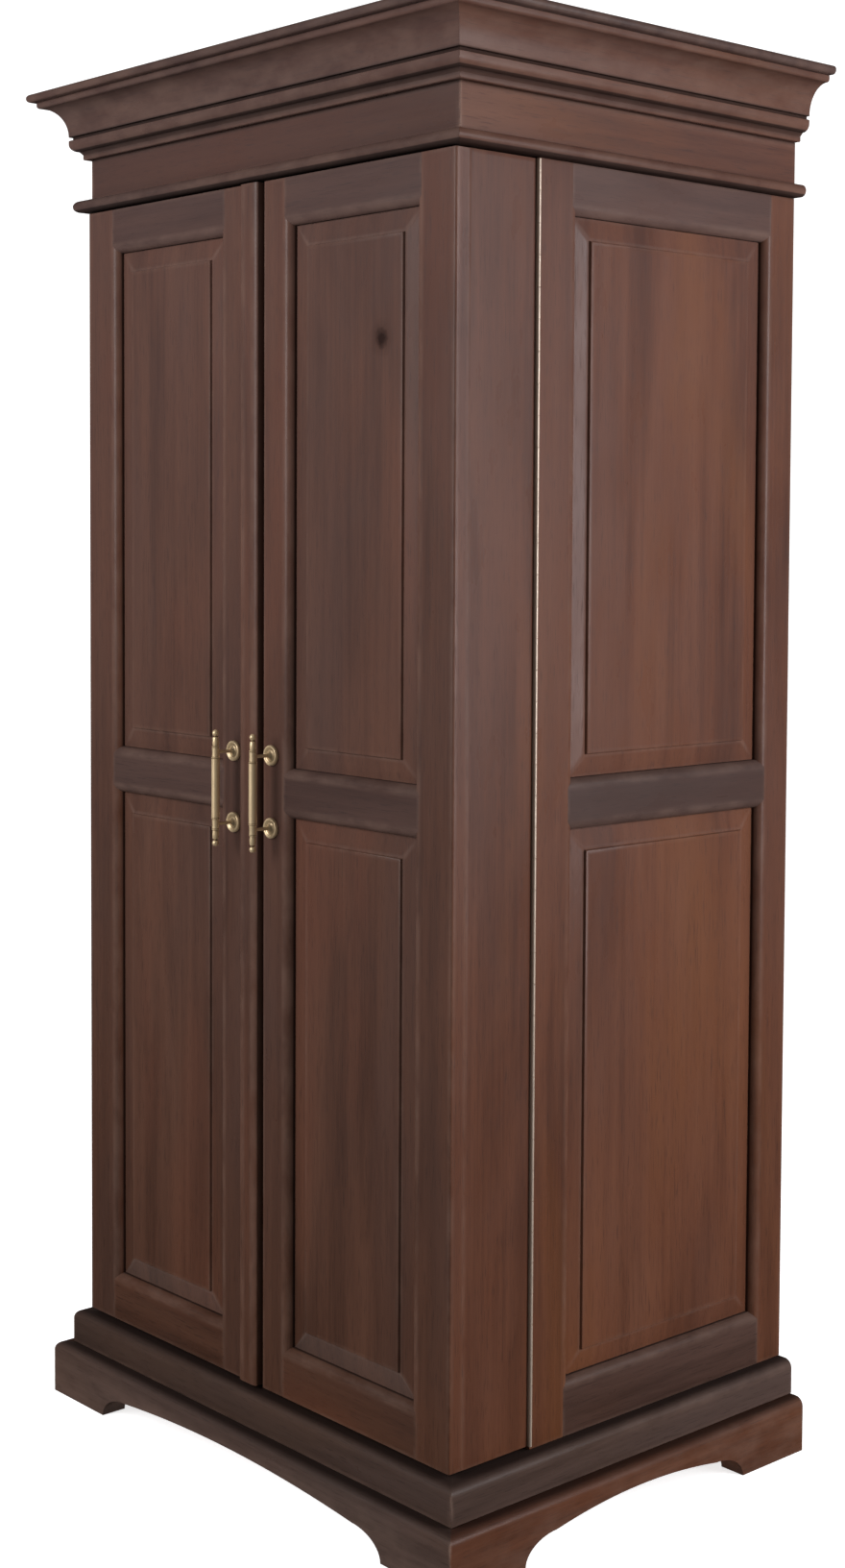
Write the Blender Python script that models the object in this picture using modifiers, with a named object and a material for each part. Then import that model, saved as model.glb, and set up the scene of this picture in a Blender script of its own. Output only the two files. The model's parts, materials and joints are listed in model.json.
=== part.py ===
"""Tall wine cabinet in mahogany with two deep, box-like doors.

Each door is a panelled frame with side, top and bottom boards behind it, and swings on a full-height
brass hinge at the rear edge of its outer side. The left door is wider and carries a strip beside the
joint. The carcass behind the doors has panelled sides, a counter, a grooved bottle shelf and a stemware
shelf. A bracket plinth carries it and a cornice tops it.

Metres, +Z up, the front faces -Y. The origin is on the floor, at the middle of the overall plan.
"""
import math

import bmesh
import bpy
from mathutils import Vector

# Overall sizes
CABINET_WIDTH = 0.780
CABINET_DEPTH = 0.624
SEAT_GAP = 0.0003
ROUND_SEGMENTS = 4
ARCH_STEPS = 6
COVE_STEPS = 8
TURNED_STEPS = 14

# Base: bracket plinth, moulding and deck
PLINTH_HEIGHT = 0.074
PLINTH_REACH = 0.0425
PLINTH_THICKNESS = 0.038
PLINTH_ROUND = 0.012
FOOT_WIDTH = 0.127
FOOT_COVE_WIDTH = 0.055
FOOT_COVE_HEIGHT = 0.033
ARCH_CROWN = 0.013
REAR_RAIL_THICKNESS = 0.022
BASE_MOULDING_HEIGHT = 0.0477
BASE_MOULDING_REACH = 0.022
BASE_MOULDING_ROUND = 0.012
BASE_MOULDING_INNER = 0.018
DECK_THICKNESS = 0.020
DECK_LEDGE = 0.014

# Doors: panelled front frame with a box behind it
DOOR_HEIGHT = 1.600
DOOR_DEPTH = 0.1355
DOOR_PROUD = 0.006
DOOR_FLOOR_GAP = 0.006
DOOR_TOP_GAP = 0.002
DOOR_MEETING_GAP = 0.002
MEETING_LINE = 0.013
PANEL_FROM_MIDDLE = 0.0755
DOOR_CORNER_ROUND = 0.005
DOOR_SIDE_THICKNESS = 0.018
DOOR_BOARD_THICKNESS = 0.018
HINGE_STILE_WIDTH = 0.072
BOTTOM_RAIL_HEIGHT = 0.068
LOWER_OPENING_HEIGHT = 0.702
MID_RAIL_HEIGHT = 0.066
TOP_RAIL_HEIGHT = 0.062
MEETING_STRIP_WIDTH = 0.0370
MEETING_STRIP_REACH = 0.0048
MEETING_STRIP_EDGE = 0.0012
MEETING_STRIP_ROUND = 0.0100
MEETING_REBATE = 0.0080
DOOR_SHELF_THICKNESS = 0.016
DOOR_GUARD_THICKNESS = 0.012
DOOR_GUARD_HEIGHT = 0.034
DOOR_GUARD_RISE = 0.085

# Frames and raised panels, the same on doors and sides
FRAME_THICKNESS = 0.022
STICKING_RADIUS = 0.0115
GROOVE_FROM_FACE = 0.012
GROOVE_WIDTH = 0.006
GROOVE_DEPTH = 0.010
PANEL_EDGE_GAP = 0.0008
PANEL_BEVEL_WIDTH = 0.028
PANEL_BEVEL_RISE = 0.0036
PANEL_SHOULDER = 0.0034
SHOULDER_SLANT = 0.0008

# Carcass
SIDE_FRONT_STILE_WIDTH = 0.071
SIDE_REAR_STILE_WIDTH = 0.060
BACK_THICKNESS = 0.008
BACK_INSET = 0.004
CARCASS_TOP_THICKNESS = 0.020
SHELF_THICKNESS = 0.020
SHELF_SETBACK = 0.006
BOTTLE_SHELF_RISE = 0.360
BOTTLE_GROOVE_RADIUS = 0.042
BOTTLE_GROOVE_DEPTH = 0.011
BOTTLE_RIDGE_WIDTH = 0.030
STEMWARE_DROP = 0.300
STEM_SLOT_MOUTH = 0.027
STEM_SLOT_WIDTH = 0.094
STEM_RAIL_WEB = 0.021
STEM_SLOT_HEIGHT = 0.014
STEM_FLANGE_THICKNESS = 0.008

# Top: frieze with a bead along its foot, cornice and top board
FRIEZE_HEIGHT = 0.075
FRIEZE_LAP = 0.010
FRIEZE_BEAD_REACH = 0.020
FRIEZE_BEAD_HEIGHT = 0.017
CORNICE_HEIGHT = 0.082
CORNICE_FILLET_REACH = 0.009
CORNICE_FILLET_HEIGHT = 0.007
CORNICE_OVOLO_REACH = 0.024
CORNICE_OVOLO_RADIUS = 0.011
CORNICE_OVOLO_TOP = 0.028
CORNICE_QUIRK = 0.002
CORNICE_COVE_REACH = 0.057
CORNICE_COVE_ROUND = 0.004
TOP_REACH = 0.068
TOP_THICKNESS = 0.012
TOP_ROUND = 0.0045

# Brass: continuous hinges and bar pulls
HINGE_LEAF_THICKNESS = 0.0012
HINGE_LEAF_WIDTH = 0.016
HINGE_LEAF_GAP = 0.0004
HINGE_BARREL_RADIUS = 0.0025
HINGE_PIN_RADIUS = 0.0010
HINGE_PIN_CLEARANCE = 0.0004
HINGE_KNUCKLES = 41
HINGE_STEPS = 8
HANDLE_LENGTH = 0.156
HANDLE_CENTRES = 0.096
HANDLE_STANDOFF = 0.032
HANDLE_FROM_MIDDLE = 0.0405
HANDLE_BAR_RADIUS = 0.0055
HANDLE_COLLAR_RADIUS = 0.0048
HANDLE_COLLAR_HALF = 0.006
HANDLE_GROOVE = 0.0014
HANDLE_END_RADIUS = 0.0040
HANDLE_NECK_RADIUS = 0.0026
HANDLE_FINIAL_RADIUS = 0.0045
POST_RADIUS = 0.0023
POST_FLARE_RADIUS = 0.0037
ROSETTE_RADIUS = 0.0135
ROSETTE_EDGE = 0.0020
ROSETTE_CREST = 0.0050
ROSETTE_DISH = 0.0030

# Levels and planes worked out from the sizes above
HALF_WIDTH = CABINET_WIDTH / 2
BACK_Y = (CABINET_DEPTH + TOP_REACH) / 2
CARCASS_FRONT = BACK_Y - CABINET_DEPTH
DOOR_FRONT = CARCASS_FRONT - DOOR_PROUD
HINGE_Y = DOOR_FRONT + DOOR_DEPTH
HINGE_SEAM = 2 * (HINGE_LEAF_THICKNESS + SEAT_GAP) + HINGE_LEAF_GAP
DOOR_REAR = HINGE_Y - HINGE_SEAM / 2
SIDE_FRONT = HINGE_Y + HINGE_SEAM / 2
AXIS_OUT = HINGE_BARREL_RADIUS + SEAT_GAP
BASE_TOP = PLINTH_HEIGHT + SEAT_GAP + BASE_MOULDING_HEIGHT
DECK_BOTTOM = BASE_TOP - DECK_THICKNESS
DOOR_BOTTOM = BASE_TOP + DOOR_FLOOR_GAP
DOOR_TOP = DOOR_BOTTOM + DOOR_HEIGHT
SIDE_BOTTOM = BASE_TOP + SEAT_GAP
SIDE_TOP = DOOR_TOP + DOOR_TOP_GAP
CARCASS_TOP = SIDE_TOP + SEAT_GAP + CARCASS_TOP_THICKNESS
FRIEZE_BOTTOM = SIDE_TOP + SEAT_GAP
FRIEZE_TOP = FRIEZE_BOTTOM + FRIEZE_HEIGHT
CORNICE_BOTTOM = FRIEZE_TOP + SEAT_GAP
CORNICE_TOP = CORNICE_BOTTOM + CORNICE_HEIGHT
TOP_BOTTOM = CORNICE_TOP + SEAT_GAP
LOWER_OPENING = (DOOR_BOTTOM + BOTTOM_RAIL_HEIGHT, DOOR_BOTTOM + BOTTOM_RAIL_HEIGHT + LOWER_OPENING_HEIGHT)
UPPER_OPENING = (LOWER_OPENING[1] + MID_RAIL_HEIGHT, DOOR_TOP - TOP_RAIL_HEIGHT)
MID_RAIL_CENTRE = (LOWER_OPENING[1] + UPPER_OPENING[0]) / 2
INNER_HALF_WIDTH = HALF_WIDTH - FRAME_THICKNESS - SEAT_GAP
SHELF_FRONT = SIDE_FRONT + SHELF_SETBACK
BACK_FRONT = BACK_Y - BACK_INSET - BACK_THICKNESS
SHELF_REAR = BACK_FRONT - SEAT_GAP
DOOR_FRAME_REAR = DOOR_FRONT + FRAME_THICKNESS
DOOR_BOX_FRONT = DOOR_FRAME_REAR + SEAT_GAP
MITRE_SLIP = SEAT_GAP / math.sqrt(2)
CUT_MARGIN = 0.004
MERGE_DISTANCE = 0.00001

# Finishes: colour, roughness, metallic
MAHOGANY = ((0.085, 0.046, 0.035), 0.38, 0.0)
MAHOGANY_SIDE = ((0.130, 0.060, 0.044), 0.38, 0.0)
MAHOGANY_DARK = ((0.062, 0.035, 0.028), 0.42, 0.0)
INTERIOR_WOOD = ((0.120, 0.062, 0.042), 0.50, 0.0)
BRASS = ((0.560, 0.400, 0.190), 0.30, 1.0)

LEFT, RIGHT = -1, 1
SIDE_NAMES = {LEFT: "left", RIGHT: "right"}


def collection(name):
    """Make a collection in the scene."""
    group = bpy.data.collections.new(name)
    bpy.context.scene.collection.children.link(group)
    return group


def clear_scene():
    """Remove every object that the scene holds."""
    for obj in list(bpy.data.objects):
        bpy.data.objects.remove(obj, do_unlink=True)


clear_scene()
PARTS = collection("wine_cabinet")
CUTTERS = collection("wine_cabinet_cutters")


def empty(name, where):
    """Add an empty that pieces hang on, such as a door's hinge axis."""
    obj = bpy.data.objects.new(name, None)
    obj.location = where
    PARTS.objects.link(obj)
    return obj


def dress(obj, finish):
    """Give an object its own material."""
    colour, roughness, metallic = finish
    material = bpy.data.materials.new(obj.name + "_finish")
    material.use_nodes = True
    shader = material.node_tree.nodes["Principled BSDF"]
    shader.inputs["Base Color"].default_value = (*colour, 1.0)
    shader.inputs["Roughness"].default_value = roughness
    shader.inputs["Metallic"].default_value = metallic
    obj.data.materials.clear()
    obj.data.materials.append(material)


def place(obj, parent, where, turn=(0.0, 0.0, 0.0)):
    """Hang an object on a parent, at a place given in world metres."""
    obj.parent = parent
    obj.location = Vector(where) - parent.location
    obj.rotation_euler = turn


def mesh_object(name, bm, group=None):
    """Turn a bmesh into an object, in the parts unless another group is given."""
    mesh = bpy.data.meshes.new(name)
    bm.to_mesh(mesh)
    bm.free()
    obj = bpy.data.objects.new(name, mesh)
    (group or PARTS).objects.link(obj)
    return obj


def as_cutter(obj):
    """Mark an object as a helper that only cuts or joins."""
    obj.hide_render = True
    obj.display_type = "WIRE"
    return obj


def combine(obj, tool, operation):
    """Add a Boolean modifier."""
    modifier = obj.modifiers.new(tool.name, "BOOLEAN")
    modifier.operation = operation
    modifier.solver = "EXACT"
    modifier.object = tool


def round_edges(bm, chosen, radius):
    """Round the edges for which the test says yes."""
    edges = [edge for edge in bm.edges if chosen(edge)]
    bmesh.ops.bevel(bm, geom=edges, offset=radius, segments=ROUND_SEGMENTS, profile=0.5, affect="EDGES",
                    clamp_overlap=True)


def box_mesh(size):
    """A box round the origin."""
    bm = bmesh.new()
    bmesh.ops.create_cube(bm, size=1.0)
    bmesh.ops.scale(bm, vec=size, verts=bm.verts)
    return bm


def board(name, low, high, finish, parent):
    """A plain board between two corners."""
    low, high = Vector(low), Vector(high)
    obj = mesh_object(name, box_mesh(high - low))
    place(obj, parent, (low + high) / 2)
    dress(obj, finish)
    return obj


def span(side, near, far):
    """The x range between two distances from the middle plane, on one side, in rising order."""
    return sorted((side * near, side * far))


def arc(centre, radii, start, end, steps):
    """Points on an elliptic arc, angles in degrees."""
    points = []
    for step in range(steps + 1):
        angle = math.radians(start + (end - start) * step / steps)
        points.append((centre[0] + radii[0] * math.cos(angle), centre[1] + radii[1] * math.sin(angle)))
    return points


def loft(rings):
    """A closed solid through rings of points, with flat ends."""
    bm = bmesh.new()
    loops = [[bm.verts.new(point) for point in ring] for ring in rings]
    count = len(loops[0])
    for near, far in zip(loops, loops[1:]):
        for i in range(count):
            j = (i + 1) % count
            bm.faces.new((near[i], near[j], far[j], far[i]))
    bm.faces.new(loops[0])
    bm.faces.new(loops[-1])
    bmesh.ops.recalc_face_normals(bm, faces=bm.faces)
    return bm


def extruded(name, outline, thickness, group=None):
    """A flat outline given a thickness, as a mesh that lies in the XY plane round z = 0."""
    curve = bpy.data.curves.new(name, "CURVE")
    curve.dimensions = "2D"
    curve.fill_mode = "BOTH"
    curve.extrude = thickness / 2
    spline = curve.splines.new("POLY")
    spline.points.add(len(outline) - 1)
    for point, (u, v) in zip(spline.points, outline):
        point.co = (u, v, 0.0, 1.0)
    spline.use_cyclic_u = True
    source = bpy.data.objects.new(name + "_outline", curve)
    PARTS.objects.link(source)
    evaluated = source.evaluated_get(bpy.context.evaluated_depsgraph_get())
    mesh = bpy.data.meshes.new_from_object(evaluated)
    bpy.data.objects.remove(source, do_unlink=True)
    bm = bmesh.new()
    bm.from_mesh(mesh)
    bpy.data.meshes.remove(mesh)
    bmesh.ops.remove_doubles(bm, verts=bm.verts, dist=MERGE_DISTANCE)
    bmesh.ops.recalc_face_normals(bm, faces=bm.faces)
    return mesh_object(name, bm, group)


def turned(name, loops, steps, group=None):
    """Profiles of (radius, height) points, each running down its outer side, turned about Z."""
    bm = bmesh.new()
    for points, closed in loops:
        verts = [bm.verts.new((radius, 0.0, height)) for radius, height in points]
        for start, end in zip(verts, verts[1:]):
            bm.edges.new((start, end))
        if closed:
            bm.edges.new((verts[-1], verts[0]))
    obj = mesh_object(name, bm, group)
    screw = obj.modifiers.new("turn", "SCREW")
    screw.axis = "Z"
    screw.angle = math.tau
    screw.steps = steps
    screw.render_steps = steps
    screw.use_merge_vertices = True
    screw.merge_threshold = MERGE_DISTANCE
    screw.use_smooth_shade = True
    return obj


# Frames and raised panels

def rectangle_ring(half_width, half_height, depth):
    """Corners of a rectangle that faces -Y, at a depth behind the frame's face."""
    return [Vector((x * half_width, depth, z * half_height)) for x, z in ((-1, -1), (1, -1), (1, 1), (-1, 1))]


def opening_cutter(name, width, height):
    """The hollow of a framed opening: moulded front edge, straight wall and groove for the panel."""
    groove_back = GROOVE_FROM_FACE + GROOVE_WIDTH
    radii = (STICKING_RADIUS, STICKING_RADIUS)
    steps = [(STICKING_RADIUS, -CUT_MARGIN)]
    steps += arc(radii, radii, -90.0, -180.0, ROUND_SEGMENTS)
    steps += [(0.0, GROOVE_FROM_FACE), (GROOVE_DEPTH, GROOVE_FROM_FACE)]
    steps += [(GROOVE_DEPTH, groove_back), (0.0, groove_back)]
    steps += [(0.0, FRAME_THICKNESS + CUT_MARGIN)]
    rings = [rectangle_ring(width / 2 + out, height / 2 + out, depth) for out, depth in steps]
    return as_cutter(mesh_object(name, loft(rings), CUTTERS))


def raised_panel(name, width, height, finish):
    """A raised and fielded panel whose tongue fills the groove round an opening."""
    tongue = GROOVE_DEPTH - PANEL_EDGE_GAP
    front = GROOVE_FROM_FACE + SEAT_GAP
    back = GROOVE_FROM_FACE + GROOVE_WIDTH - SEAT_GAP
    bevel_top = front - PANEL_BEVEL_RISE
    field = bevel_top - PANEL_SHOULDER
    bevel = tongue + PANEL_BEVEL_WIDTH
    steps = [(0.0, back), (0.0, front), (tongue, front), (bevel, bevel_top), (bevel + SHOULDER_SLANT, field)]
    rings = [rectangle_ring(width / 2 + tongue - inset, height / 2 + tongue - inset, depth)
             for inset, depth in steps]
    obj = mesh_object(name, loft(rings))
    dress(obj, finish)
    return obj


def opening_centre(opening):
    """Height of the middle of an opening."""
    return (opening[0] + opening[1]) / 2


def opening_height(opening):
    """Height of an opening from wall to wall."""
    return opening[1] - opening[0]


# Mouldings that run round the front and both sides

def station(side, rear, slip=0.0):
    """Where a moulding's section stands, as a function of its reach: a square rear end or a front mitre."""
    if rear:
        return lambda reach: (side * (HALF_WIDTH + reach), BACK_Y)
    return lambda reach: (side * (HALF_WIDTH + reach), CARCASS_FRONT - reach + slip)


def moulding(name, section, stations, finish, parent):
    """A section of (reach, height) points carried through its stations, mitred at the corners."""
    rings = [[Vector((*where(reach), height)) for reach, height in section] for where in stations]
    obj = mesh_object(name, loft(rings))
    place(obj, parent, (0.0, 0.0, 0.0))
    dress(obj, finish)
    return obj


ROUND_THE_FRONT = (station(LEFT, True), station(LEFT, False), station(RIGHT, False), station(RIGHT, True))


def arch_cutter(name, length):
    """The hollow between two bracket feet, along a plinth board that starts at u = 0."""
    middle = length / 2
    cove_end = FOOT_WIDTH + FOOT_COVE_WIDTH
    half_span = middle - cove_end
    half = [(FOOT_WIDTH, -CUT_MARGIN)]
    half += arc((cove_end, 0.0), (FOOT_COVE_WIDTH, FOOT_COVE_HEIGHT), 180.0, 90.0, ARCH_STEPS)
    for step in range(1, ARCH_STEPS):
        share = step / ARCH_STEPS
        half.append((cove_end + half_span * share, FOOT_COVE_HEIGHT + ARCH_CROWN * (1 - (1 - share) ** 2)))
    outline = half + [(middle, FOOT_COVE_HEIGHT + ARCH_CROWN)]
    outline += [(length - u, v) for u, v in reversed(half)]
    return as_cutter(extruded(name, outline, PLINTH_THICKNESS + 2 * CUT_MARGIN, CUTTERS))


def build_base(cabinet):
    """Bracket plinth, base moulding and deck."""
    inner = PLINTH_REACH - PLINTH_THICKNESS
    top_round = (PLINTH_REACH - PLINTH_ROUND, PLINTH_HEIGHT - PLINTH_ROUND)
    section = [(inner, 0.0), (PLINTH_REACH, 0.0)]
    section += arc(top_round, (PLINTH_ROUND, PLINTH_ROUND), 0.0, 90.0, ROUND_SEGMENTS)
    section += [(inner, PLINTH_HEIGHT)]
    cut_at = PLINTH_REACH - PLINTH_THICKNESS / 2
    flat = math.radians(90.0)

    ends = [lambda reach, side=side: (side * (HALF_WIDTH + reach - MITRE_SLIP), CARCASS_FRONT - reach)
            for side in (LEFT, RIGHT)]
    front = moulding("plinth_front", section, ends, MAHOGANY, cabinet)
    arch = arch_cutter("plinth_front_arch", CABINET_WIDTH + 2 * PLINTH_REACH)
    place(arch, cabinet, (-HALF_WIDTH - PLINTH_REACH, CARCASS_FRONT - cut_at, 0.0), (flat, 0.0, 0.0))
    combine(front, arch, "DIFFERENCE")

    for side in (LEFT, RIGHT):
        name = SIDE_NAMES[side] + "_plinth"
        ends = (station(side, False, MITRE_SLIP), station(side, True))
        plinth = moulding(name, section, ends, MAHOGANY_SIDE, cabinet)
        arch = arch_cutter(name + "_arch", CABINET_DEPTH + PLINTH_REACH)
        start = (side * (HALF_WIDTH + cut_at), CARCASS_FRONT - PLINTH_REACH, 0.0)
        place(arch, cabinet, start, (flat, 0.0, flat))
        combine(plinth, arch, "DIFFERENCE")

    low = PLINTH_HEIGHT + SEAT_GAP
    ledge_top = DECK_BOTTOM - SEAT_GAP
    wide = HALF_WIDTH + inner - SEAT_GAP
    narrow = HALF_WIDTH - BASE_MOULDING_INNER - DECK_LEDGE - SEAT_GAP
    rail_bottom = FOOT_COVE_HEIGHT + ARCH_CROWN
    half_rail = [(wide, rail_bottom), (wide, PLINTH_HEIGHT), (narrow, PLINTH_HEIGHT), (narrow, ledge_top)]
    outline = half_rail + [(-x, z) for x, z in reversed(half_rail)]
    rail = extruded("plinth_rear_rail", outline, REAR_RAIL_THICKNESS)
    place(rail, cabinet, (0.0, BACK_Y - REAR_RAIL_THICKNESS / 2, 0.0), (flat, 0.0, 0.0))
    dress(rail, MAHOGANY_DARK)

    rounding = (BASE_MOULDING_REACH - BASE_MOULDING_ROUND, BASE_TOP - BASE_MOULDING_ROUND)
    section = [(-BASE_MOULDING_INNER - DECK_LEDGE, low), (BASE_MOULDING_REACH, low)]
    section += arc(rounding, (BASE_MOULDING_ROUND, BASE_MOULDING_ROUND), 0.0, 90.0, ROUND_SEGMENTS)
    section += [(-BASE_MOULDING_INNER, BASE_TOP), (-BASE_MOULDING_INNER, ledge_top)]
    section += [(-BASE_MOULDING_INNER - DECK_LEDGE, ledge_top)]
    moulding("base_moulding", section, ROUND_THE_FRONT, MAHOGANY, cabinet)

    deck_half = HALF_WIDTH - BASE_MOULDING_INNER - SEAT_GAP
    deck_front = CARCASS_FRONT + BASE_MOULDING_INNER + SEAT_GAP
    board("deck", (-deck_half, deck_front, DECK_BOTTOM), (deck_half, BACK_Y, BASE_TOP),
          INTERIOR_WOOD, cabinet)


def build_side(side, cabinet):
    """A fixed side of the carcass: one glued frame and its two panels."""
    name = SIDE_NAMES[side]
    depth = BACK_Y - SIDE_FRONT
    height = SIDE_TOP - SIDE_BOTTOM
    turn = (0.0, 0.0, side * math.radians(90.0))
    face = side * HALF_WIDTH
    middle_y = (SIDE_FRONT + BACK_Y) / 2

    frame = mesh_object(name + "_side_frame", box_mesh((depth, FRAME_THICKNESS, height)))
    place(frame, cabinet, (face - side * FRAME_THICKNESS / 2, middle_y, (SIDE_BOTTOM + SIDE_TOP) / 2), turn)
    dress(frame, MAHOGANY_SIDE)
    width = depth - SIDE_FRONT_STILE_WIDTH - SIDE_REAR_STILE_WIDTH
    opening_y = SIDE_FRONT + SIDE_FRONT_STILE_WIDTH + width / 2
    for level, opening in (("lower", LOWER_OPENING), ("upper", UPPER_OPENING)):
        centre = (face, opening_y, opening_centre(opening))
        tall = opening_height(opening)
        cutter = opening_cutter("%s_side_%s_opening" % (name, level), width, tall)
        place(cutter, cabinet, centre, turn)
        combine(frame, cutter, "DIFFERENCE")
        panel = raised_panel("%s_side_%s_panel" % (name, level), width, tall, MAHOGANY_SIDE)
        place(panel, cabinet, centre, turn)


def bottle_shelf_outline(half, bottom):
    """Section of the bottle shelf: a board with a row of round grooves along its top."""
    top = bottom + SHELF_THICKNESS
    half_angle = math.degrees(math.acos(1 - BOTTLE_GROOVE_DEPTH / BOTTLE_GROOVE_RADIUS))
    groove_width = 2 * BOTTLE_GROOVE_RADIUS * math.sin(math.radians(half_angle))
    pitch = groove_width + BOTTLE_RIDGE_WIDTH
    count = int((2 * half - BOTTLE_RIDGE_WIDTH) // pitch)
    first = -(count - 1) * pitch / 2
    centre_z = top + BOTTLE_GROOVE_RADIUS - BOTTLE_GROOVE_DEPTH
    outline = [(half, bottom), (-half, bottom), (-half, top)]
    for groove in range(count):
        centre = (first + groove * pitch, centre_z)
        radii = (BOTTLE_GROOVE_RADIUS, BOTTLE_GROOVE_RADIUS)
        outline += arc(centre, radii, 270.0 - half_angle, 270.0 + half_angle, ARCH_STEPS)
    return outline + [(half, top)]


def stemware_shelf_outline(half, top):
    """Section of the stemware shelf: a board with T-shaped rails under it."""
    board_bottom = top - SHELF_THICKNESS
    flange_top = board_bottom - STEM_SLOT_HEIGHT
    bottom = flange_top - STEM_FLANGE_THICKNESS
    pitch = STEM_SLOT_WIDTH + STEM_RAIL_WEB
    count = int((2 * half - STEM_RAIL_WEB) // pitch)
    first = -(count - 1) * pitch / 2
    mouth, pocket = STEM_SLOT_MOUTH / 2, STEM_SLOT_WIDTH / 2
    outline = [(half, top), (-half, top), (-half, bottom)]
    for slot in range(count):
        middle = first + slot * pitch
        outline += [(middle - mouth, bottom), (middle - mouth, flange_top), (middle - pocket, flange_top)]
        outline += [(middle - pocket, board_bottom), (middle + pocket, board_bottom)]
        outline += [(middle + pocket, flange_top), (middle + mouth, flange_top), (middle + mouth, bottom)]
    return outline + [(half, bottom)]


def build_carcass(cabinet):
    """Back, top board and shelves between the sides."""
    half = INNER_HALF_WIDTH
    board("back_panel", (-half, BACK_FRONT, SIDE_BOTTOM), (half, BACK_FRONT + BACK_THICKNESS, CORNICE_TOP),
          INTERIOR_WOOD, cabinet)
    top_half = HALF_WIDTH - FRIEZE_LAP - SEAT_GAP
    board("carcass_top", (-top_half, CARCASS_FRONT + FRIEZE_LAP + SEAT_GAP, FRIEZE_BOTTOM),
          (top_half, SHELF_REAR, CARCASS_TOP), INTERIOR_WOOD, cabinet)
    counter = MID_RAIL_CENTRE - SHELF_THICKNESS / 2
    board("counter_shelf", (-half, SHELF_FRONT, counter), (half, SHELF_REAR, counter + SHELF_THICKNESS),
          INTERIOR_WOOD, cabinet)

    upright = (math.radians(90.0), 0.0, 0.0)
    middle = (0.0, (SHELF_FRONT + SHELF_REAR) / 2, 0.0)
    outlines = (
        ("bottle_shelf", bottle_shelf_outline(half, BASE_TOP + BOTTLE_SHELF_RISE)),
        ("stemware_shelf", stemware_shelf_outline(half, SIDE_TOP - STEMWARE_DROP)),
    )
    for name, outline in outlines:
        shelf = extruded(name, outline, SHELF_REAR - SHELF_FRONT)
        place(shelf, cabinet, middle, upright)
        dress(shelf, INTERIOR_WOOD)


def build_top(cabinet):
    """Frieze with its bead, cornice and top board."""
    nose = FRIEZE_BEAD_HEIGHT / 2
    section = [(-FRIEZE_LAP, FRIEZE_BOTTOM)]
    nose_centre = (FRIEZE_BEAD_REACH - nose, FRIEZE_BOTTOM + nose)
    section += arc(nose_centre, (nose, nose), -90.0, 90.0, 2 * ROUND_SEGMENTS)
    section += [(0.0, FRIEZE_BOTTOM + FRIEZE_BEAD_HEIGHT), (0.0, FRIEZE_TOP), (-FRAME_THICKNESS, FRIEZE_TOP)]
    section += [(-FRAME_THICKNESS, CARCASS_TOP + SEAT_GAP), (-FRIEZE_LAP, CARCASS_TOP + SEAT_GAP)]
    moulding("frieze", section, ROUND_THE_FRONT, MAHOGANY, cabinet)

    ovolo_low = CORNICE_BOTTOM + CORNICE_FILLET_HEIGHT + CORNICE_QUIRK
    ovolo_top = CORNICE_BOTTOM + CORNICE_OVOLO_TOP
    ovolo_centre = (CORNICE_OVOLO_REACH - CORNICE_OVOLO_RADIUS, ovolo_low + CORNICE_OVOLO_RADIUS)
    cove_foot = (CORNICE_OVOLO_REACH, ovolo_top + CORNICE_QUIRK)
    cove_width = CORNICE_COVE_REACH - CORNICE_COVE_ROUND - CORNICE_OVOLO_REACH
    cove_top = CORNICE_TOP - CORNICE_COVE_ROUND - CORNICE_QUIRK
    section = [(-FRAME_THICKNESS, CORNICE_BOTTOM), (CORNICE_FILLET_REACH, CORNICE_BOTTOM)]
    section += [(CORNICE_FILLET_REACH, ovolo_low - CORNICE_QUIRK)]
    section += arc(ovolo_centre, (CORNICE_OVOLO_RADIUS, CORNICE_OVOLO_RADIUS), -90.0, 0.0, ROUND_SEGMENTS)
    section += [(CORNICE_OVOLO_REACH, ovolo_top), (CORNICE_OVOLO_REACH - CORNICE_QUIRK, ovolo_top)]
    section += [(CORNICE_OVOLO_REACH - CORNICE_QUIRK, cove_foot[1])]
    cove_centre = (cove_foot[0] + cove_width, cove_foot[1])
    section += arc(cove_centre, (cove_width, cove_top - cove_foot[1]), 180.0, 90.0, COVE_STEPS)
    round_centre = (CORNICE_COVE_REACH - CORNICE_COVE_ROUND, cove_top + CORNICE_COVE_ROUND)
    section += arc(round_centre, (CORNICE_COVE_ROUND, CORNICE_COVE_ROUND), -90.0, 0.0, ROUND_SEGMENTS)[1:]
    section += [(CORNICE_COVE_REACH, CORNICE_TOP), (-FRAME_THICKNESS, CORNICE_TOP)]
    moulding("cornice", section, ROUND_THE_FRONT, MAHOGANY, cabinet)

    size = Vector((CABINET_WIDTH + 2 * TOP_REACH, CABINET_DEPTH + TOP_REACH, TOP_THICKNESS))
    bm = box_mesh(size)

    def on_nose(edge):
        """A long edge on the front or on a side."""
        middle = (edge.verts[0].co + edge.verts[1].co) / 2
        return abs(middle.z) > TOP_THICKNESS / 4 and middle.y < size.y / 4

    round_edges(bm, on_nose, TOP_ROUND)
    top = mesh_object("top_board", bm)
    place(top, cabinet, (0.0, 0.0, TOP_BOTTOM + TOP_THICKNESS / 2))
    dress(top, MAHOGANY_DARK)


# Doors

def meeting_edge(side):
    """Distance from the middle plane to a door's meeting edge, below zero on the door that passes it."""
    return DOOR_MEETING_GAP / 2 + side * MEETING_LINE


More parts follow.
